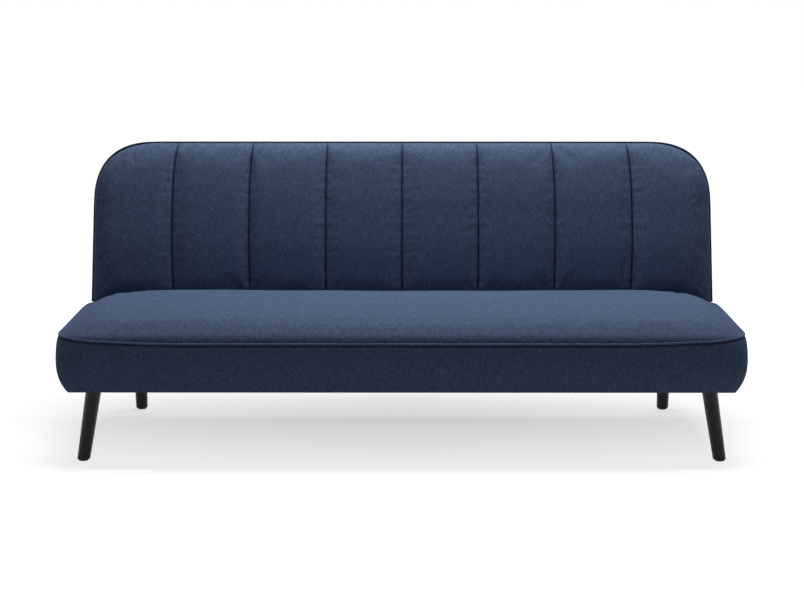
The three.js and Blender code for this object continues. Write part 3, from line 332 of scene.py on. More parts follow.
@dataclass
class Outline:
    """A pad's outline from its front: a rectangle with one radius at its two low corners and
    another at its two high corners. The low corners are arcs of a circle, and the high ones are
    superellipses: x to the power given plus y to that power is constant, and 2 is a circle. The
    plain edge is the one with no piping."""

    low: float
    high: float
    low_radius: float
    high_radius: float
    plain: str
    power: float = 2.0
    half: float = SEAT_HIGH.x

    def drop(self, x, radius, power):
        """How far an edge has left its straight line at x: a superellipse in its corners."""
        over = np.clip(np.abs(x) - (self.half - radius), 0, radius)
        return radius - (radius**power - over**power) ** (1 / power)

    def depth(self, x, v):
        """How far a point is inside: the distance to the nearest side, or in a corner the radius
        less the superellipse's norm, which is the distance for a circle and nearly so for others."""
        depth = np.minimum(self.half - np.abs(x), np.minimum(v - self.low, self.high - v))
        for radius, inward, power in (
            (self.low_radius, v - self.low, 2), (self.high_radius, self.high - v, self.power),
        ):
            over = np.maximum(np.abs(x) - (self.half - radius), 0)
            left = np.maximum(radius - inward, 0)
            norm = (over**power + left**power) ** (1 / power)
            depth = np.where((over > 0) & (left > 0), radius - norm, depth)
        return depth

    def piped(self, v):
        """1 along the piped edges, easing to 0 round the corners of the plain edge."""
        if self.plain == "high":
            return smoothstep(self.high - v, 0, self.high_radius)
        return smoothstep(v - self.low, 0, self.low_radius)

    def stations(self, corner_steps, spacing=STRIP_STEP):
        """Points round the outline with their outward directions, anticlockwise from the start of
        the low right corner's arc: corners in equal angles of the outward direction, and straights
        in equal steps, whose number goes by the whole side, so that outlines of one size pair up
        whatever their radii. A corner's point, from its centre, has each share of its direction
        raised to 1 / (power - 1), and is then scaled onto the superellipse."""
        low = self.low + self.low_radius, self.low_radius, 2
        high = self.high - self.high_radius, self.high_radius, self.power
        arcs = []
        for side, start, (v, radius, power) in ((1, -90, low), (1, 0, high), (-1, 90, high), (-1, 180, low)):
            angle = np.radians(start + np.linspace(0, 90, corner_steps + 1))
            out = np.stack([np.cos(angle), np.sin(angle)], axis=-1)
            point = np.sign(out) * np.abs(out) ** (1 / (power - 1))
            point /= np.sum(np.abs(point) ** power, axis=1, keepdims=True) ** (1 / power)
            arcs.append((np.array([side * (self.half - radius), v]) + radius * point, out))
        places, outs = [], []
        for k, (place, out) in enumerate(arcs):
            after = arcs[(k + 1) % 4][0][0]
            steps = int((2 * self.half if k % 2 else self.high - self.low) / spacing)
            share = np.linspace(0, 1, steps + 1)[1:-1, None]
            places += [place, place[-1] + (after - place[-1]) * share]
            outs += [out, np.repeat(out[-1:], len(share), axis=0)]
        return np.concatenate(places), np.concatenate(outs)

    def columns(self, spacing):
        """Columns across the outline, crowded where its sides and corner arcs turn."""
        reach = max(self.low_radius, self.high_radius)
        return crowded(2 * self.half, spacing, EDGE_STEP, reach) - self.half

    def plan(self, columns, spacing, first, reach):
        """Plan points of a face: columns across, and rows that go from the low edge to the high
        one in equal shares of the way, crowded at both."""
        span = self.high - self.low
        share = crowded(span, spacing, first, reach) / span
        low = (self.low + self.drop(columns, self.low_radius, 2))[:, None]
        high = (self.high - self.drop(columns, self.high_radius, self.power))[:, None]
        v = low + (high - low) * share
        return np.broadcast_to(columns[:, None], v.shape), v


# ---- pads, bands and piping


def settled(outline, face, seams, slack, reach):
    """How a cover's cloth moves when it is blown up from inside: offsets by point of an even grid
    over the outline.

    A plain sheet with the face's height is pinned at its edges and at the seams, cut larger than
    the face by the share slack, and run as cloth for 20 frames under a light even pressure, with
    no gravity. No point is let move further than reach.
    """
    spacing = 7.5 * MM
    frames = 20
    x = np.linspace(-outline.half, outline.half, int(2 * outline.half / spacing))
    v = np.linspace(outline.low, outline.high, int((outline.high - outline.low) / spacing))
    grid_x, grid_v = np.meshgrid(x, v, indexing="ij")
    start = np.stack([grid_x, grid_v, face(outline, grid_x, grid_v)], axis=-1)
    sheet = mesh_piece("cloth_trial", start, grid_faces(len(x), len(v)))
    pins = sheet.vertex_groups.new(name="held")
    sewn = np.any(np.abs(grid_x[..., None] - seams) < PINNED, axis=-1)
    pinned = sewn | (outline.depth(grid_x, grid_v) < spacing)
    pins.add(np.flatnonzero(pinned).tolist(), 1.0, "REPLACE")
    cloth = sheet.modifiers.new("cloth", "CLOTH")
    for setting, value in {
        "quality": 6, "mass": 0.15, "tension_stiffness": 25, "compression_stiffness": 12,
        "shear_stiffness": 8, "bending_stiffness": 0.4, "air_damping": 4,
        "vertex_group_mass": "held", "shrink_min": -slack, "use_pressure": True,
        "uniform_pressure_force": 4,
    }.items():
        setattr(cloth.settings, setting, value)
    cloth.settings.effector_weights.gravity = 0
    cloth.collision_settings.use_collision = False
    cloth.point_cache.frame_start, cloth.point_cache.frame_end = 1, frames
    for number in range(1, frames + 1):
        bpy.context.scene.frame_set(number)
    mesh = sheet.evaluated_get(bpy.context.evaluated_depsgraph_get()).data
    end = np.empty(len(mesh.vertices) * 3, np.float32)
    mesh.vertices.foreach_get("co", end)
    moved = end.reshape(start.shape) - start
    bpy.data.objects.remove(sheet)
    bpy.context.scene.frame_set(1)
    far = np.maximum(np.linalg.norm(moved, axis=-1, keepdims=True), TINY**2)
    return x, v, moved * np.minimum(1, reach / far)


def sampled(field, x, v):
    """A grid field's offsets at other points of the outline, each blended from four neighbours. The
    last row's points are taken just short of it, so that there is a neighbour past them."""
    grid_x, grid_v, moved = field
    short = 1.001
    column = np.clip((x - grid_x[0]) / (grid_x[1] - grid_x[0]), 0, len(grid_x) - short)
    row = np.clip((v - grid_v[0]) / (grid_v[1] - grid_v[0]), 0, len(grid_v) - short)
    i, j = column.astype(int), row.astype(int)
    a, b = (column - i)[..., None], (row - j)[..., None]
    near = moved[i, j] * (1 - a) + moved[i + 1, j] * a
    far = moved[i, j + 1] * (1 - a) + moved[i + 1, j + 1] * a
    return near * (1 - b) + far * b


def cushion(name, outline, face, plan, seams, slack, reach, inset, back, lift):
    """A closed cushion form: a grid of the face's height over the plan points, moved as its cloth
    settles, a lip turned in under its rim to the share inset of its plan, and a flat back at the
    height given. lift turns plan points and heights into points of the scene."""
    x, v = plan
    moved = sampled(settled(outline, face, seams, slack, reach), x, v)
    moved = moved * smoothstep(outline.depth(x, v), 2 * MM, 30 * MM)[..., None]
    x, v, height = x + moved[..., 0], v + moved[..., 1], face(outline, x, v) + moved[..., 2]
    number = np.arange(x.size).reshape(x.shape)
    rim = np.concatenate([number[:-1, 0], number[-1, :-1], number[:0:-1, -1], number[0, :0:-1]])
    rim_plan = np.stack([x.ravel()[rim], v.ravel()[rim]], axis=-1)
    middle = np.array([0, (outline.low + outline.high) / 2])
    inner = middle + (rim_plan - middle) * inset
    points, faces = [lift(x, v, height).reshape(-1, 3)], [grid_faces(*x.shape)]
    before = rim
    for level in (height.ravel()[rim] - 1.5 * MM, np.full(len(rim), back)):
        after = np.arange(len(rim)) + sum(map(len, points))
        points.append(lift(inner[:, 0], inner[:, 1], level))
        faces.append(np.stack([before, after, np.roll(after, -1), np.roll(before, -1)], axis=-1))
        before = after
    uv = np.concatenate([np.stack([x, v], axis=-1).reshape(-1, 2), rim_plan, rim_plan])
    return mesh_piece(name, np.concatenate(points), np.concatenate(faces), uv, [before[::-1]])


def swept(name, plan, height, closed_path, lift):
    """A closed solid strip carried along a path: plan points and heights by station and by point
    round the strip, which lift turns into points of the scene. Its UV is the distance along the
    path and round the strip."""
    points = lift(plan[..., 0], plan[..., 1], height)
    along = np.cumsum(np.linalg.norm(np.diff(plan[:, 0], axis=0, prepend=plan[:1, 0]), axis=1))
    girth = np.cumsum(np.linalg.norm(np.diff(points, axis=1, prepend=points[:, :1]), axis=-1), axis=1)
    uv = np.stack([np.broadcast_to(along[:, None], height.shape), girth], axis=-1)
    count, around = height.shape
    faces = grid_faces(count, around, wrap_rows=closed_path, wrap_columns=True)
    caps = () if closed_path else (range(around), range(count * around - 1, (count - 1) * around - 1, -1))
    return mesh_piece(name, points, faces, uv, caps)


def welt(name, outline, plane, above, radius, past, lift):
    """A piping cord round an outline's piped edges: a circle of radius carried along a little above
    a plane, set out of the edge by most of its radius, from one end of the plain edge to the other.
    It runs on past the plain edge's corners by the share of a quarter turn given."""
    places, outs = outline.stations(corner_steps=24, spacing=12 * MM)
    up = outs[:, 1] if outline.plain == "high" else -outs[:, 1]
    plain = (np.abs(outs[:, 0]) < math.cos(past * QUARTER_TURN) + TINY) & (up > TINY)
    first = int(np.argmax(plain & ~np.roll(plain, -1))) + 1
    keep = np.roll(~plain, -first)
    places, outs = np.roll(places, -first, axis=0)[keep], np.roll(outs, -first, axis=0)[keep]
    angle = np.linspace(0, TURN, 16, endpoint=False)
    showing = 0.7
    outset = radius * (showing + np.cos(angle))
    plan = places[:, None, :] + outs[:, None, :] * outset[:, None]
    height = (plane(places[:, 0], places[:, 1]) + above)[:, None] - radius * np.sin(angle)
    return swept(name, plan, height, False, lift)


def boxing(name, outline, hem_outline, corner_steps, top, bottom, swell, turn, grain, hem, lift):
    """A closed band of cloth round an outline, from its top height down to its bottom, where its
    plan has become the hem outline's. swell and turn are outsets by share of the way down: the
    swell is for the piped edges, and the turn draws the band in all round. grain is the wavelength
    and the seed of its unevenness, and hem the steps in which its edge turns in under the pad. The
    lining is set in by the cloth's thickness, square to the face."""
    places, outs = outline.stations(corner_steps)
    hem_places, _ = hem_outline.stations(corner_steps)
    x, v = places[:, :1], places[:, 1:]
    share = np.linspace(0, 1, len(swell))
    height = top(x, v) - (top(x, v) - bottom) * share
    uneven = 0.5 * MM * waviness(x + v, height, *grain) * np.sin(math.pi * share)
    outset = (swell + uneven) * outline.piped(v) - turn
    outset = np.concatenate([outset, outset[:, -1:] - hem], axis=1)
    height = np.concatenate([height, np.full((len(places), len(hem)), bottom)], axis=1)
    run_out, run_up = np.gradient(outset, axis=1), np.gradient(height, axis=1)
    run = np.hypot(run_out, run_up)
    lining_out = outset + CLOTH_THICKNESS * run_up / run
    lining_up = height - CLOTH_THICKNESS * run_out / run
    outset = np.concatenate([outset, lining_out[:, ::-1]], axis=1)
    height = np.concatenate([height, lining_up[:, ::-1]], axis=1)
    down = (top(x, v) - height) / (top(x, v) - bottom)
    base = places[:, None] + (hem_places - places)[:, None] * down[..., None]
    return swept(name, base + outs[:, None] * outset[..., None], height, True, lift)


# ---- materials


def linear(code):
    """An sRGB hex value, or three sRGB shares, as linear red, green, blue and an alpha of 1."""
    colour = shares(code) if isinstance(code, str) else code
    return [s / 12.92 if s <= 0.04045 else ((s + 0.055) / 1.055) ** 2.4 for s in colour] + [1.0]


def scaled(colour, share):
    """An sRGB colour with each share multiplied, kept within 0 and 1."""
    return tuple(min(max(c * share, 0), 1) for c in colour)


class Nodes:
    """The node tree of a material or a world, started with its usual shader and output."""

    def __init__(self, owner):
        owner.use_nodes = True
        self.tree = owner.node_tree

    def add(self, kind, stops=(), **values):
        """Adds a node with its settings and links, and gives its outputs. A name in lower case is a
        setting, and any other an input. stops are a colour ramp's places and colours."""
        node = self.tree.nodes.new("ShaderNode" + kind)
        if stops:
            elements = node.color_ramp.elements
            while len(elements) < len(stops):
                elements.new(0.5)
            for element, (place, colour) in zip(elements, stops):
                element.position = place
                element.color = linear(colour)
        return self.feed(node, **values)

    def feed(self, node, **values):
        """Sets a node's settings, and sets its inputs or links sockets to them. An input goes by its
        name, with underscores, or by its number, as in_1. Gives the node's outputs."""
        for key, value in values.items():
            if key.islower() and not key.startswith("in_"):
                setattr(node, key, value)
                continue
            target = node.inputs[int(key[3:]) if key.startswith("in_") else key.replace("_", " ")]
            if isinstance(value, bpy.types.NodeSocket):
                self.tree.links.new(value, target)
            else:
                target.default_value = value
        return node.outputs

    def fields(self, *patterns, place=None):
        """Noise fields in a place, which is Object coordinates unless it is given. Each pattern is
        the size of its cells in millimetres, its detail, and its cells a size along x, y and z."""
        place = place or self.add("TexCoord")["Object"]
        found = []
        for millimetres, detail, stretch in patterns:
            cells = [share / (millimetres * MM) for share in stretch]
            mapped = self.add("Mapping", Vector=place, Scale=cells)[0]
            found.append(self.add("TexNoise", Vector=mapped, Scale=1.0, Detail=detail)[0])
        return found

    def total(self, *parts):
        """The sum of fields, each multiplied by its share."""
        total = 0.0
        for share, field in parts:
            total = self.add("Math", operation="MULTIPLY_ADD", in_0=field, in_1=share, in_2=total)[0]
        return total

    def seen_directly(self):
        """1 to the camera, to mirrors and to glass, and 0 to the light that fills the scene."""
        path = self.add("LightPath")
        seen = path["Is Camera Ray"]
        for ray in ("Is Glossy Ray", "Is Transmission Ray"):
            seen = self.add("Math", operation="MAXIMUM", in_0=seen, in_1=path[ray])[0]
        return seen

    def finish(self, tone, stops, relief, strength, millimetres, **values):
        """Ends a material: tone picks the colour between the stops, relief lifts the surface by a
        strength and a height, and the other values are the Principled shader's."""
        shade = self.add("ValToRGB", stops, Fac=tone)[0]
        bump = self.add("Bump", Height=relief, Strength=strength, Distance=millimetres * MM)[0]
        self.feed(self.tree.nodes["Principled BSDF"], Base_Color=shade, Normal=bump, **values)


EVEN = (1, 1, 1)


def woven_cloth(nodes, dye, contrast):
    """Melange plain weave of polyester linen: matt, with a soft bloom at glancing angles.

    The yarns are 0.6 mm, too fine to show, so the weave is drawn at 1.6 mm. Slubs 10 mm long on
    yarns of 1.3 mm give the cloth its flecks of lighter and darker blue, strongest up the warp.
    A faint mottle of 25 mm is the uneven take-up of the dye. dye multiplies the cloth's colour,
    and contrast the strength of its flecks. For the piping, dye is painted light: a lighter copy of
    the cloth is a painted highlight on the seat's cord, and a darker copy is painted shade on the
    backrest's cord.
    """
    colour = scaled(bpy.context.scene.sofa_colours.cloth, dye)
    place = nodes.add("UVMap", uv_map="cloth")[0]
    warp, weft, streak, mottle = nodes.fields(
        (1.3, 1.5, (1, 0.13, 1)), (1.3, 1.5, (0.13, 1, 1)), (3.5, 2, (1, 0.12, 1)), (25, 2, EVEN),
        place=place,
    )
    yarns = nodes.total((0.5, warp), (0.5, weft))
    tone = nodes.total((0.72, yarns), (0.2, streak), (0.08, mottle))
    across = nodes.add("SeparateXYZ", Vector=place)
    weave = 1.0
    for axis in range(2):
        turn = nodes.add("Math", operation="MULTIPLY", in_0=across[axis], in_1=TURN / (1.6 * MM))[0]
        wave = nodes.add("Math", operation="SINE", in_0=turn)[0]
        weave = nodes.add("Math", operation="MULTIPLY", in_0=wave, in_1=weave)[0]
    dark, light = scaled(colour, 1 - 0.26 * contrast), scaled(colour, 1 + 0.24 * contrast)
    nodes.finish(
        tone, [(0.38, dark), (0.5, colour), (0.62, light)], nodes.total((0.25, weave), (1, yarns)), 0.35, 0.4,
        Roughness=0.92, Specular_IOR_Level=0.15, Sheen_Weight=0.08, Sheen_Roughness=0.4,
        Sheen_Tint=linear(scaled(colour, 1.4)),
    )


def spunbond_felt(nodes):
    """Black polypropylene spunbond under the seat: matt, with the 2.5 mm grid of its hot-rolled
    bond points as small pits, drawn at 4 mm so that they show."""
    place = nodes.add("TexCoord")["Object"]
    points = nodes.add("TexVoronoi", Vector=place, Scale=1 / (4 * MM), Randomness=0.1)["Distance"]
    fibres, = nodes.fields((6, 4, EVEN), place=place)
    nodes.finish(fibres, [(0.3, "#101012"), (0.7, "#1e1e21")], points, 0.4, 0.3, Roughness=0.85)


def lacquered_beech(nodes):
    """Turned beech sprayed with black satin lacquer: a soft gloss over a faint upright grain,
    whose pores of 0.4 mm are drawn at 1.5 mm wide and 40 mm long."""
    colour = bpy.context.scene.sofa_colours.lacquer
    grain, smears = nodes.fields((1.5, 2, (1, 1, 0.04)), (20, 2, EVEN))
    gloss = nodes.add("MapRange", Value=smears, To_Min=0.3, To_Max=0.42)[0]
    stops = [(0.3, scaled(colour, 0.7)), (0.7, scaled(colour, 1.3))]
    nodes.finish(grain, stops, grain, 0.12, 0.2, Roughness=gloss, Specular_IOR_Level=0.2)


def powder_coated_steel(nodes):
    """Black powder-coated steel: satin, with an orange-peel skin of 2 mm dimples."""
    peel, dust = nodes.fields((2, 1, EVEN), (60, 4, EVEN))
    nodes.finish(dust, [(0.35, "#161719"), (0.7, "#202124")], peel, 0.25, 0.1, Roughness=0.45)


def zinc_plated_steel(nodes, light, dark, rough):
    """Pressed steel with bright zinc plating: a grey metal, clouded at 12 mm by its crystals and
    finely scratched by handling."""
    cloud, scratch = nodes.fields((12, 4, EVEN), (0.8, 1, (1, 0.05, 1)))
    gloss = nodes.add("MapRange", Value=cloud, To_Min=rough - 0.08, To_Max=rough + 0.1)[0]
    nodes.finish(cloud, [(0.3, dark), (0.7, light)], scratch, 0.1, 0.05, Metallic=1.0, Roughness=gloss)


def planed_pine(nodes):
    """Planed pine boards: pale straw between darker growth rings 7 mm apart, stretched along the
    board, with fine pores."""
    rings, pores = nodes.fields((7, 2, (0.04, 1, 1)), (0.7, 1, (0.05, 1, 1)))
    stops = [(0.35, "#b48a5c"), (0.5, "#d0ac7c"), (0.65, "#dcbf94")]
    nodes.finish(nodes.total((0.8, rings), (0.2, pores)), stops, pores, 0.2, 0.1, Roughness=0.65)


def moulded_nylon(nodes):
    """Injection-moulded black nylon of the glides: a fine spark-eroded grain of 0.8 mm."""
    grain, = nodes.fields((0.8, 2, EVEN))
    nodes.finish(grain, [(0.3, "#0d0d0e"), (0.7, "#171718")], grain, 0.3, 0.05, Roughness=0.55)


def seam_thread_painted_shade(nodes):
    """Bonded polyester sewing thread in navy, drawn much darker than the cloth: that darkness is
    partly painted shade, which darkens the line of each seam's crease. It has a slight waxy gleam,
    and its 0.6 mm twist as a fine bump."""
    twist, = nodes.fields((0.6, 1, EVEN))
    nodes.finish(twist, [(0.3, "#141b29"), (0.7, "#232d40")], twist, 0.3, 0.1, Roughness=0.6)


# Each material's name, with the function that makes it and the values that it is given.
FINISHES = {
    "melange_weave": (woven_cloth, 1, 1),
    # A lighter copy of the cloth for the seat's piping: a painted highlight on the cord's lit top.
    "bias_weave_painted_highlight": (woven_cloth, 1.12, 0.7),
    # A darker copy of the cloth for the backrest's piping: painted shade on the cord round its edge.
    "bias_weave_painted_shade": (woven_cloth, 0.66, 0.5),
    "plain_lining_weave": (woven_cloth, 0.62, 0.5),
    "spunbond_felt": (spunbond_felt,),
    "black_lacquered_beech": (lacquered_beech,),
    "black_powder_coated_steel": (powder_coated_steel,),
    "zinc_plated_steel": (zinc_plated_steel, "#c3c5c7", "#9ea2a6", 0.32),
    "drawn_spring_wire": (zinc_plated_steel, "#8b8e92", "#6b6e72", 0.4),
    "planed_pine": (planed_pine,),
    "black_moulded_nylon": (moulded_nylon,),
    "seam_thread_painted_shade": (seam_thread_painted_shade,),
}
# The slots of the record whose pieces keep their CAD shape, with their materials.
FRAME_FINISHES = {
    "timber": "planed_pine",
    "coated_steel": "black_powder_coated_steel",
    "zinc_steel": "zinc_plated_steel",
    "spring_steel": "drawn_spring_wire",
    "black_cloth": "spunbond_felt",
}


def made(name):
    """The material of that name, made the first time that it is asked for."""
    if name not in bpy.data.materials:
        maker, *values = FINISHES[name]
        maker(Nodes(bpy.data.materials.new(name)), *values)
    return bpy.data.materials[name]


# ---- seat


def seat_outline():
    """The seat's outline in plan: low is its front, and high its rear, which has no piping."""
    seat = bpy.context.scene.sofa_seat
    return Outline(SEAT_LOW.y, SEAT_HIGH.y, seat.front_radius, seat.rear_radius, "high")


def seat_plane(x, v):
    """Height of the seat's piping: level along the front's middle, climbing by a cubic ease to the
    sides, climbing evenly from the front corners to the rear, and dipping by another cubic ease at
    the rear corners."""
    seat = bpy.context.scene.sofa_seat
    corner = SEAT_LOW.y + seat.front_radius
    back = np.clip((v - corner) / (SEAT_HIGH.y - corner), 0, 1)
    dip = seat.corner_dip * smoothstep(SEAT_HIGH.y - v, 150 * MM, 0)
    return PIPING_Z + seat.side_lift * smoothstep(np.abs(x), 600 * MM, 900 * MM) + seat.rear_lift * back - dip


def seat_face(outline, x, v):
    """Height of the seat's top: a rolled edge, which is wider and softer along the front than along
    the sides and the rear, a crown whose highest line lies behind the middle, a slope that falls
    away exponentially towards the sides, shallow unevenness of the foam, and pulls that run in from
    the piping."""
    seat = bpy.context.scene.sofa_seat
    depth = np.maximum(outline.depth(x, v), 0)
    plane = seat_plane(x, v)
    span = outline.high - outline.low
    crest, breadth = outline.low + 0.635 * span, 0.67 * span
    from_crest = np.clip((v - crest) / breadth, -1, 1)
    crown = seat.crown * np.cos(QUARTER_TURN * from_crest) * np.minimum(depth / seat.roll_width, 1)
    slope = seat.side_slope * np.exp(-(outline.half - np.abs(x)) / (70 * MM))
    uneven = 0.9 * MM * waviness(x, v, wavelength=0.32, seed=3) * smoothstep(depth, 20 * MM, 120 * MM)
    along = np.where(v - outline.low < depth + 0.1 * MM, x, v)
    pulls = 0.2 * MM * waviness(along, 0.15 * depth, wavelength=0.03, seed=5) * np.exp(-depth / PULL_REACH)
    pulls = pulls * smoothstep(depth, 0, 6 * MM)
    table = PIPING_Z + seat.roll_height + crown - slope
    front = smoothstep(v - outline.low, 300 * MM, 100 * MM)
    rise = roll(depth / (seat.roll_width - 10 * MM * (1 - front)), 2.4 - 0.6 * front) * (table - plane)
    return plane + np.maximum(rise, 0.8 * MM) + uneven + pulls


class SOFA_OT_seat_pad(bpy.types.Operator):
    """Make the seat's crowned top, filled with foam"""

    bl_idname = "sofa.seat_pad"
    bl_label = "Seat pad"

    def execute(self, context):
        outline = seat_outline()
        plan = outline.plan(outline.columns(9 * MM), 8 * MM, EDGE_STEP, 60 * MM)
        pad = cushion(
            "seat_pad", outline, seat_face, plan, seams=(), slack=0.003, reach=3.5 * MM,
            inset=0.994, back=PIPING_Z - 14 * MM, lift=lift_seat,
        )
        dress(pad, "melange_weave", "seat", "upholstery", "seat_top_cover", "seat_foam")
        return {"FINISHED"}


class SOFA_OT_seat_band(bpy.types.Operator):
    """Make the band round the seat's front, sides and rear"""

    bl_idname = "sofa.seat_band"
    bl_label = "Seat band"

    def execute(self, context):
        """The swell is half a sine wave of a power of the way down, and the tuck a power law that
        starts a third of the way down."""
        seat = context.scene.sofa_seat
        outline = seat_outline()
        hem_outline = Outline(outline.low, outline.high, seat.hem_radius, seat.rear_radius, "high")
        share = np.linspace(0, 1, 26)
        swell = seat.bulge * np.sin(math.pi * share**0.42)
        tuck = seat.tuck * np.clip((share - 0.32) / 0.68, 0, 1) ** 2.9
        band = boxing(
            "seat_boxing", outline, hem_outline, corner_steps=20,
            top=lambda x, v: seat_plane(x, v) - 2 * MM, bottom=BAND_BOTTOM - seat.hem_drop,
            swell=swell - tuck, turn=0, grain=(0.16, 11), hem=np.linspace(3, 22, 4) * MM, lift=lift_seat,
        )
        dress(band, "melange_weave", "seat", "upholstery", "seat_band")
        return {"FINISHED"}


class SOFA_OT_seat_piping(bpy.types.Operator):
    """Make the piping cord between the seat's top and band"""

    bl_idname = "sofa.seat_piping"
    bl_label = "Seat piping"

    def execute(self, context):
        radius = context.scene.sofa_seat.piping_radius
        cord = welt("seat_welt", seat_outline(), seat_plane, 1.2 * MM, radius, past=1, lift=lift_seat)
        # The cord is the seat's cloth drawn lighter: a painted highlight along its lit top.
        dress(cord, "bias_weave_painted_highlight", "seat", "piping", "seat_piping")
        return {"FINISHED"}


class SOFA_OT_dust_cover(bpy.types.Operator):
    """Make the felt that is stapled under the seat"""

    bl_idname = "sofa.dust_cover"
    bl_label = "Dust cover"

    def execute(self, context):
        """A sheet that sags by a cubic ease from its stapled edges, and is slightly uneven."""
        low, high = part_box("seat_dust_cover")
        x, y = np.meshgrid(np.linspace(low.x, high.x, 121), np.linspace(low.y, high.y, 41), indexing="ij")
        edge = np.minimum(np.minimum(x - low.x, high.x - x), np.minimum(y - low.y, high.y - y))
        uneven = 0.8 * MM * waviness(x, y, wavelength=0.2, seed=17)
        sag = 5 * MM * smoothstep(edge, 20 * MM, 200 * MM) + uneven
        z = low.z - sag * smoothstep(edge, 0, 30 * MM)
        cover = thin_sheet("dust_felt", np.stack([x, y, z], axis=-1), 0.6 * MM)
        dress(cover, "spunbond_felt", "seat", "black_cloth", "seat_dust_cover")
        return {"FINISHED"}


# ---- backrest


def back_outline():
    """The backrest's outline lying flat: low is its foot, which has no piping."""
    back = bpy.context.scene.sofa_back
    return Outline(back.foot, back.length, back.foot_radius, back.top_radius, "low", back.top_power)


def back_plane(x, v):
    """Height of the backrest's piping, lying flat: level."""
    back = bpy.context.scene.sofa_back
    return np.full_like(x, back.face - back.roll_height)


def seam_places():
    """Where the channel seams cross the middle of the backrest: even, with wider end channels."""
    width = bpy.context.scene.sofa_back.inner_channel
    places = width * np.arange(-3, 4)
    return np.where(np.abs(places) > 2.5 * width, np.sign(places) * (3 * width + 1.5 * MM), places)


def drawn_in(outline, x, v):
    """Draws the channels in towards the middle at the top and the foot, as their seams pull: by 1.7%
    at the top and 1.2% at the foot, growing as the square of the way past the middle, and dying
    away towards the sides."""
    up = np.clip((v - outline.low) / (outline.high - outline.low), 0, 1)
    share = 0.017 * np.clip((up - 0.6) / 0.4, 0, 1) ** 2 + 0.012 * np.clip((0.45 - up) / 0.45, 0, 1) ** 2
    side = 1 - np.clip(np.abs(x / outline.half), 0, 1) ** 10
    return x * (1 - share * side)


def back_columns(outline):
    """Columns across the backrest, crowded at the sides, by a quarter circle, and at each seam, by
    a power of the way to the middle of its channel."""
    bounds = np.concatenate([[-outline.half], seam_places(), [outline.half]])
    ramp = np.linspace(0, 1, 15) ** 2.6
    side = outline.half - outline.high_radius * (1 - np.cos(np.linspace(0, QUARTER_TURN, 40)))
    columns = [side, -side]
    for low, high in zip(bounds[:-1], bounds[1:]):
        middle = (low + high) / 2
        if low > bounds[0]:
            columns.append(low + (middle - low) * ramp)
        if high < bounds[-1]:
            columns.append(high - (high - middle) * ramp)
    return np.unique(np.round(np.concatenate(columns), 6))


def back_face(outline, x, v):
    """Height of the backrest's face: a rolled edge; a puff over each channel, which falls by a cubic
    towards its seams, and by a square towards the sides; a crease that falls exponentially into each
    seam; puckers that the thread pulls beside it; gathers in a Gaussian spot near the top of the
    leftmost seam; pulls that run in from the piping; and a belly that falls by a square towards the
    foot and by a cube towards the top."""
    back = bpy.context.scene.sofa_back
    seams = seam_places()
    depth = np.maximum(outline.depth(x, v), 0)
    bounds = np.concatenate([[-outline.half], seams, [outline.half]])
    nearest = np.min(np.abs(x[..., None] - seams), axis=-1)
    cell = np.clip(np.searchsorted(bounds, x, side="right") - 1, 0, len(bounds) - 2)
    middle = (bounds[cell] + bounds[cell + 1]) / 2
    across = np.abs(x - middle) / ((bounds[cell + 1] - bounds[cell]) / 2)
    toward_side = (np.abs(x) > seams[-1]) & (np.abs(x) > np.abs(middle))
    puff = back.puff * (1 - np.where(toward_side, 0.7 * across**2, across**3))
    crease = back.crease * np.exp(-nearest / back.crease_width)
    puckers = 0.45 * MM * waviness(v, 0.3 * nearest, wavelength=0.024, seed=23) * np.exp(-nearest / (18 * MM))
    spot = np.hypot((x - seams[0]) / (16 * MM), (v - outline.high + 50 * MM) / (28 * MM))
    gathers = 1.3 * MM * waviness(x + v, 0.4 * (x - v), wavelength=0.011, seed=43) * np.exp(-spot**2)
    uneven = 0.7 * MM * waviness(x, v, wavelength=0.22, seed=29)
    pulls = 0.5 * MM * waviness(x, 0.15 * depth, wavelength=0.03, seed=31) * np.exp(-depth / PULL_REACH)
    up = 2 * (v - outline.low) / (outline.high - outline.low) - 1
    belly = back.belly * (2 / 3 - np.where(up > 0, 0.8 * np.abs(up) ** 3, up**2))
    full = back.roll_height + belly - back.puff + puff - crease + puckers + gathers + uneven + pulls
    return back_plane(x, v) + np.maximum(roll(depth / back.roll_width, 2.1) * full, 1.5 * MM)


class SOFA_OT_back_pad(bpy.types.Operator):
    """Make the backrest's channelled front, filled with foam"""

    bl_idname = "sofa.back_pad"
    bl_label = "Backrest pad"

    def execute(self, context):
        back = context.scene.sofa_back
        outline = back_outline()
        pad = cushion(
            "back_pad", outline, back_face, outline.plan(back_columns(outline), 5.5 * MM, EDGE_STEP, 55 * MM),
            seams=seam_places(), slack=0.006, reach=6 * MM, inset=0.995,
            back=back.face - back.roll_height - 20 * MM,
            lift=lambda x, v, height: raise_back(drawn_in(outline, x, v), v, height),
        )
        dress(pad, "melange_weave", "back", "upholstery", "back_front_cover", "back_foam")
        return {"FINISHED"}


class SOFA_OT_back_band(bpy.types.Operator):
    """Make the band round the backrest's edge"""

    bl_idname = "sofa.back_band"
    bl_label = "Backrest band"

    def execute(self, context):
        """The swell is half a sine wave down the band, and the turn a square law at its rear edge."""
        back = context.scene.sofa_back
        share = np.linspace(0, 1, 18)
        band = boxing(
            "back_boxing", back_outline(), back_outline(), corner_steps=24,
            top=lambda x, v: back_plane(x, v) - 2.6 * MM, bottom=back.face - back.thickness,
            swell=1.5 * MM * np.sin(math.pi * share), turn=7 * MM * np.clip((share - 0.88) / 0.12, 0, 1) ** 2,
            grain=(0.14, 37), hem=np.linspace(2, 8, 3) * MM, lift=raise_back,
        )
        dress(band, "melange_weave", "back", "upholstery", "back_band")
        return {"FINISHED"}


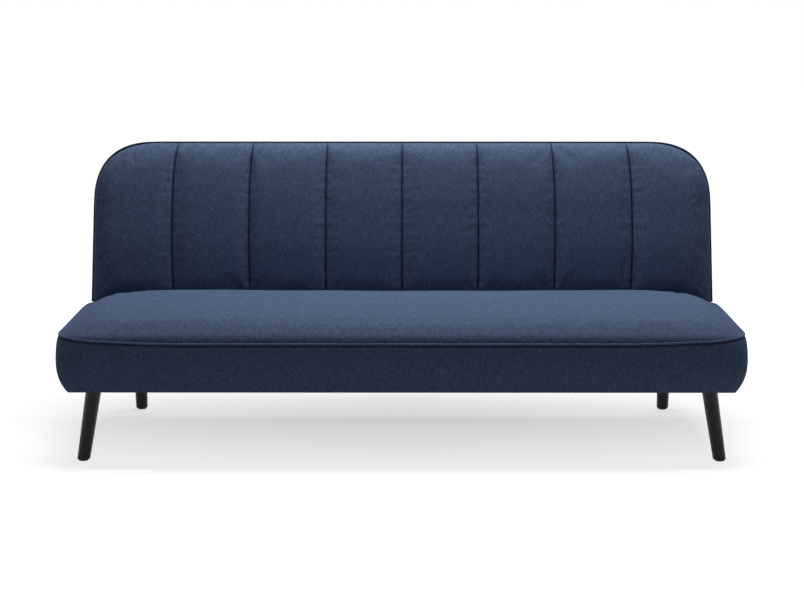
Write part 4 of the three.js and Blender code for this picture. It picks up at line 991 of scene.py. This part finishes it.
class SOFA_OT_back_piping(bpy.types.Operator):
    """Make the piping cord round the backrest's front edge"""

    bl_idname = "sofa.back_piping"
    bl_label = "Backrest piping"

    def execute(self, context):
        radius = context.scene.sofa_back.piping_radius
        cord = welt("back_welt", back_outline(), back_plane, 0, radius, past=0, lift=raise_back)
        # The cord is the backrest's cloth drawn darker: painted shade round the backrest's edge.
        dress(cord, "bias_weave_painted_shade", "back", "piping", "back_piping")
        return {"FINISHED"}


class SOFA_OT_channel_seams(bpy.types.Operator):
    """Sew the channel seams with rows of stitches"""

    bl_idname = "sofa.channel_seams"
    bl_label = "Channel seams"

    def execute(self, context):
        """Each stitch is a row of rings along a parabola's arch in the crease, thin at its ends."""
        stitch = context.scene.sofa_back.stitch
        outline = back_outline()
        sides = 6
        around = np.linspace(0, TURN, sides, endpoint=False)
        along = np.array([-0.5, -0.42, -0.2, 0.2, 0.42, 0.5])[:, None] * stitch
        radius = 0.55 * MM * np.array([0.02, 0.7, 1.0, 1.0, 0.7, 0.02])[:, None]
        arch = 0.5 * MM * (1 - (2 * along / stitch) ** 2)
        starts = np.arange(outline.low + 30 * MM, outline.high - 8 * MM, stitch * 1.35)
        seam, start = (part.reshape(-1, 1, 1) for part in np.meshgrid(seam_places(), starts, indexing="ij"))
        v = start + along + 0 * around
        base = back_face(outline, np.broadcast_to(seam, v[..., :1].shape), v[..., :1])
        x = drawn_in(outline, seam, v) + radius * np.cos(around)
        points = raise_back(x, v, base + arch + radius * np.sin(around))
        count = along.size * sides
        first = count * np.arange(len(points))[:, None, None]
        faces = first + grid_faces(along.size, sides, wrap_columns=True)[:, ::-1]
        caps = first + np.array([np.arange(sides), count - 1 - np.arange(sides)])
        thread = mesh_piece("channel_stitches", points, faces.reshape(-1, 4), None, caps.reshape(-1, sides))
        # The thread's dark colour is partly painted shade along the line of each seam.
        dress(thread, "seam_thread_painted_shade", "back", "piping")
        return {"FINISHED"}


class SOFA_OT_rear_cover(bpy.types.Operator):
    """Make the cloth stretched over the backrest's rear"""

    bl_idname = "sofa.rear_cover"
    bl_label = "Rear cover"

    def execute(self, context):
        """A sheet inside the band's turned edge, sunk by a cubic ease and slightly uneven."""
        back = context.scene.sofa_back
        outline = back_outline()
        inset = 14 * MM
        inner = Outline(
            outline.low + inset, outline.high - inset, 8 * MM, outline.high_radius - inset, "low",
            outline.power, outline.half - inset,
        )
        x, v = inner.plan(inner.columns(14 * MM), 12 * MM, 0.5 * MM, 30 * MM)
        depth = np.maximum(inner.depth(x, v), 0)
        sink = 0.8 * MM * smoothstep(depth, 50 * MM, 180 * MM)
        sink = sink + 0.3 * MM * waviness(x, v, wavelength=0.25, seed=41)
        w = back.face - back.thickness + sink * smoothstep(depth, 0, 50 * MM)
        cover = thin_sheet("rear_panel", raise_back(x, v, w), 1.2 * MM, np.stack([x, v], axis=-1))
        dress(cover, "plain_lining_weave", "back", "lining_cloth", "back_rear_cover")
        return {"FINISHED"}


# ---- legs, base and frame


class SOFA_OT_legs(bpy.types.Operator):
    """Turn the four tapered legs and their glides"""

    bl_idname = "sofa.legs"
    bl_label = "Legs"

    def execute(self, context):
        """A leg is a straight taper that leans by shear from its glide to its plate, with its foot's
        edge rounded and its top's edge broken. A glide is a disc with its floor edge rounded."""
        sizes = context.scene.sofa_legs
        for end, side in (("front", "left"), ("front", "right"), ("rear", "left"), ("rear", "right")):
            leg, glide, plate = (f"{end}_{part}_{side}" for part in ("leg", "glide", "leg_plate"))
            foot, head = centre(glide), centre(plate)
            foot[2], head[2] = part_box(glide)[0].z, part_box(plate)[0].z
            top = head[2] - 0.3 * MM
            radii, heights = rounded_edge(sizes.foot_radius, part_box(leg)[0].z, sizes.foot_round, 7)
            radii = np.append(radii, sizes.top_radius - np.array([1, 0.3, 1.2]) * MM)
            heights = np.append(heights, top - np.array([1, 0.6, 0]) * MM)
            share = ((heights - foot[2]) / (head[2] - foot[2]))[:, None]
            piece = turned(f"turned_{leg}", radii, foot + (head - foot) * share, sizes.sides)
            dress(piece, "black_lacquered_beech", "seat", "black_lacquer", leg)

            low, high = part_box(glide)
            radius = (high.x - low.x) / 2
            radii, heights = rounded_edge(radius, low.z, 1.4 * MM, 5)
            places = np.tile(foot, (len(radii) + 1, 1))
            places[:, 2] = np.append(heights, high.z)
            piece = turned(f"moulded_{glide}", np.append(radii, radius), places, sizes.sides)
            dress(piece, "black_moulded_nylon", "seat", "black_plastic", glide)
        return {"FINISHED"}


class SOFA_OT_cross_tube(bpy.types.Operator):
    """Make the round tube between the base rails, with its weld beads"""

    bl_idname = "sofa.cross_tube"
    bl_label = "Cross tube"

    def execute(self, context):
        """Rings along the tube: at each end a bead that stands out, rippled by nine sine waves."""
        low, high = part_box("rear_cross_tube")
        radius = (high.z - low.z) / 2
        steps = 40
        bead = np.array([2.2, 1.6, 0]) * MM
        bead = np.append(bead, bead[::-1])[:, None]
        ripple = np.sin(9 * np.linspace(0, TURN, steps, endpoint=False)) * (bead > 0)
        ends = low.x + np.array([0, 2, 5]) * MM
        places = np.tile(centre("rear_cross_tube"), (len(bead), 1))
        places[:, 0] = np.append(ends, -ends[::-1])
        tube = turned("rear_tube", radius + bead + 0.35 * MM * ripple, places, steps, plane=(1, 2))
        dress(tube, "black_powder_coated_steel", "seat", "coated_steel", "rear_cross_tube")
        return {"FINISHED"}


class SOFA_OT_frame_finishes(bpy.types.Operator):
    """Finish the frame, springs and hinges that the upholstery is built on"""

    bl_idname = "sofa.frame_finishes"
    bl_label = "Frame finishes"

    def execute(self, context):
        for entry in frame["record"]["subparts"]:
            node = frame["nodes"][entry["node"]]
            if entry["material_slot"] in FRAME_FINISHES and not node.hide_render:
                node.data.materials.clear()
                node.data.materials.append(made(FRAME_FINISHES[entry["material_slot"]]))
        return {"FINISHED"}


# ---- stage


class SOFA_OT_stage(bpy.types.Operator):
    """Lay the floor, and set the light and the camera"""

    bl_idname = "sofa.stage"
    bl_label = "Stage"

    def execute(self, context):
        scene = context.scene
        scene.view_settings.view_transform = "Standard"
        self.floor()
        self.backdrop(scene)
        self.lamp("overhead", (0.2, 0.455, 2.4), tilt=0, size=(2.8, 1.65), watts=52)
        self.lamp("front_fill", (0.0, -3.2, 1.7), tilt=68, size=(4.0, 1.6), watts=1.9)
        self.camera(scene)
        return {"FINISHED"}

    def put(self, name, data, place, tilt, swing=0):
        """A lamp or the camera in its place, turned up from facing the floor, and then aside."""
        thing = bpy.data.objects.new(name, data)
        thing.location = place
        thing.rotation_euler = (tilt, 0, swing)
        bpy.context.scene.collection.objects.link(thing)
        return thing

    def floor(self):
        """A pale floor that shows the shade that falls on it: part matt, and part its own light, which
        grows with the distance from the sofa, near it and again further off. The low light near the
        sofa is a painted shadow under it, which deepens the shade that falls there."""
        reach = 30.0
        corners = np.array([[-reach, -reach], [reach, -reach], [reach, reach], [-reach, reach]])
        points = np.column_stack([corners, np.full(4, CAD_BOX[0].z)])
        floor = mesh_piece("studio_floor", points, np.array([[0, 1, 2, 3]]))
        material = bpy.data.materials.new("studio_floor")
        nodes = Nodes(material)
        shader = nodes.tree.nodes["Principled BSDF"]
        unseen = nodes.feed(shader, Base_Color=FLOOR_COLOUR, Roughness=1.0, Specular_IOR_Level=0.0)[0]
        place = nodes.add("TexCoord")["Object"]
        place = nodes.add("Mapping", Vector=place, Location=(0, -0.4, 0), Scale=(0.46, 1, 1))[0]
        away = nodes.add("VectorMath", operation="LENGTH", in_0=place)["Value"]
        # Painted shadow: the floor's own light is lowest under the sofa and rises away from it.
        near = nodes.add("MapRange", Value=away, From_Max=0.79, To_Min=0.48, To_Max=0.79)[0]
        far = nodes.add("MapRange", Value=away, From_Min=0.9, From_Max=1.15, To_Max=0.21)[0]
        glow_with_painted_shadow = nodes.add("Emission", Color=(1, 1, 1, 1), Strength=nodes.total((1, near), (1, far)))[0]
        matt = nodes.add("BsdfDiffuse", Color=FLOOR_COLOUR)[0]
        both = nodes.add("AddShader", in_0=matt, in_1=glow_with_painted_shadow)[0]
        choice = nodes.add("MixShader", in_0=nodes.seen_directly(), in_1=unseen, in_2=both)[0]
        nodes.feed(nodes.tree.nodes["Material Output"], Surface=choice)
        floor.data.materials.append(material)

    def backdrop(self, scene):
        """A white backdrop for the eye and for reflections, and a dim even sky for the light."""
        scene.world = bpy.data.worlds.new("studio")
        nodes = Nodes(scene.world)
        strength = nodes.add("MapRange", Value=nodes.seen_directly(), To_Min=0.06, To_Max=1.0)[0]
        nodes.feed(nodes.tree.nodes["Background"], Color=(1, 1, 1, 1), Strength=strength)

    def lamp(self, name, place, tilt, size, watts):
        """A plain rectangular lamp, tilted up from facing the floor by so many degrees."""
        data = bpy.data.lights.new(name, "AREA")
        data.shape = "RECTANGLE"
        data.size, data.size_y = size
        data.energy = watts
        self.put(name, data, place, math.radians(tilt))

    def camera(self, scene):
        """A long lens, a little above the sofa and looking slightly down at it."""
        data = bpy.data.cameras.new("camera")
        data.sensor_width = 36
        data.lens = 76.28
        place = (0.0137, SEAT_LOW.y - 4.4227, 1.145)
        scene.camera = self.put("camera", data, place, math.radians(90 - 9), swing=0.0027)


# ---- add-on


PIECE_OPERATORS = (
    SOFA_OT_seat_pad,
    SOFA_OT_seat_band,
    SOFA_OT_seat_piping,
    SOFA_OT_dust_cover,
    SOFA_OT_back_pad,
    SOFA_OT_back_band,
    SOFA_OT_back_piping,
    SOFA_OT_channel_seams,
    SOFA_OT_rear_cover,
    SOFA_OT_legs,
    SOFA_OT_cross_tube,
    SOFA_OT_frame_finishes,
    SOFA_OT_stage,
)
SIZE_GROUPS = {
    "sofa_seat": SofaSeatSizes,
    "sofa_back": SofaBackSizes,
    "sofa_legs": SofaLegSizes,
    "sofa_colours": SofaColours,
}


class SOFA_PT_panel(bpy.types.Panel):
    """Lists the sofa bed's sizes, and the operators that make its pieces."""

    bl_idname = "SOFA_PT_panel"
    bl_label = "Sofa Bed"
    bl_space_type = "VIEW_3D"
    bl_region_type = "UI"
    bl_category = "Sofa Bed"

    def draw(self, context):
        for group_name, group in SIZE_GROUPS.items():
            sizes = self.layout.box()
            for key in group.__annotations__:
                sizes.prop(getattr(context.scene, group_name), key)
        for operator in PIECE_OPERATORS:
            self.layout.operator(operator.bl_idname)


CLASSES = (*SIZE_GROUPS.values(), *PIECE_OPERATORS, SOFA_PT_panel)


def register():
    for cls in CLASSES:
        bpy.utils.register_class(cls)
    for name, group in SIZE_GROUPS.items():
        setattr(bpy.types.Scene, name, PointerProperty(type=group))


def unregister():
    for name in SIZE_GROUPS:
        delattr(bpy.types.Scene, name)
    for cls in reversed(CLASSES):
        bpy.utils.unregister_class(cls)


def main():
    register()
    for operator in PIECE_OPERATORS:
        category, name = operator.bl_idname.split(".")
        getattr(getattr(bpy.ops, category), name)()


if __name__ == "__main__":
    main()
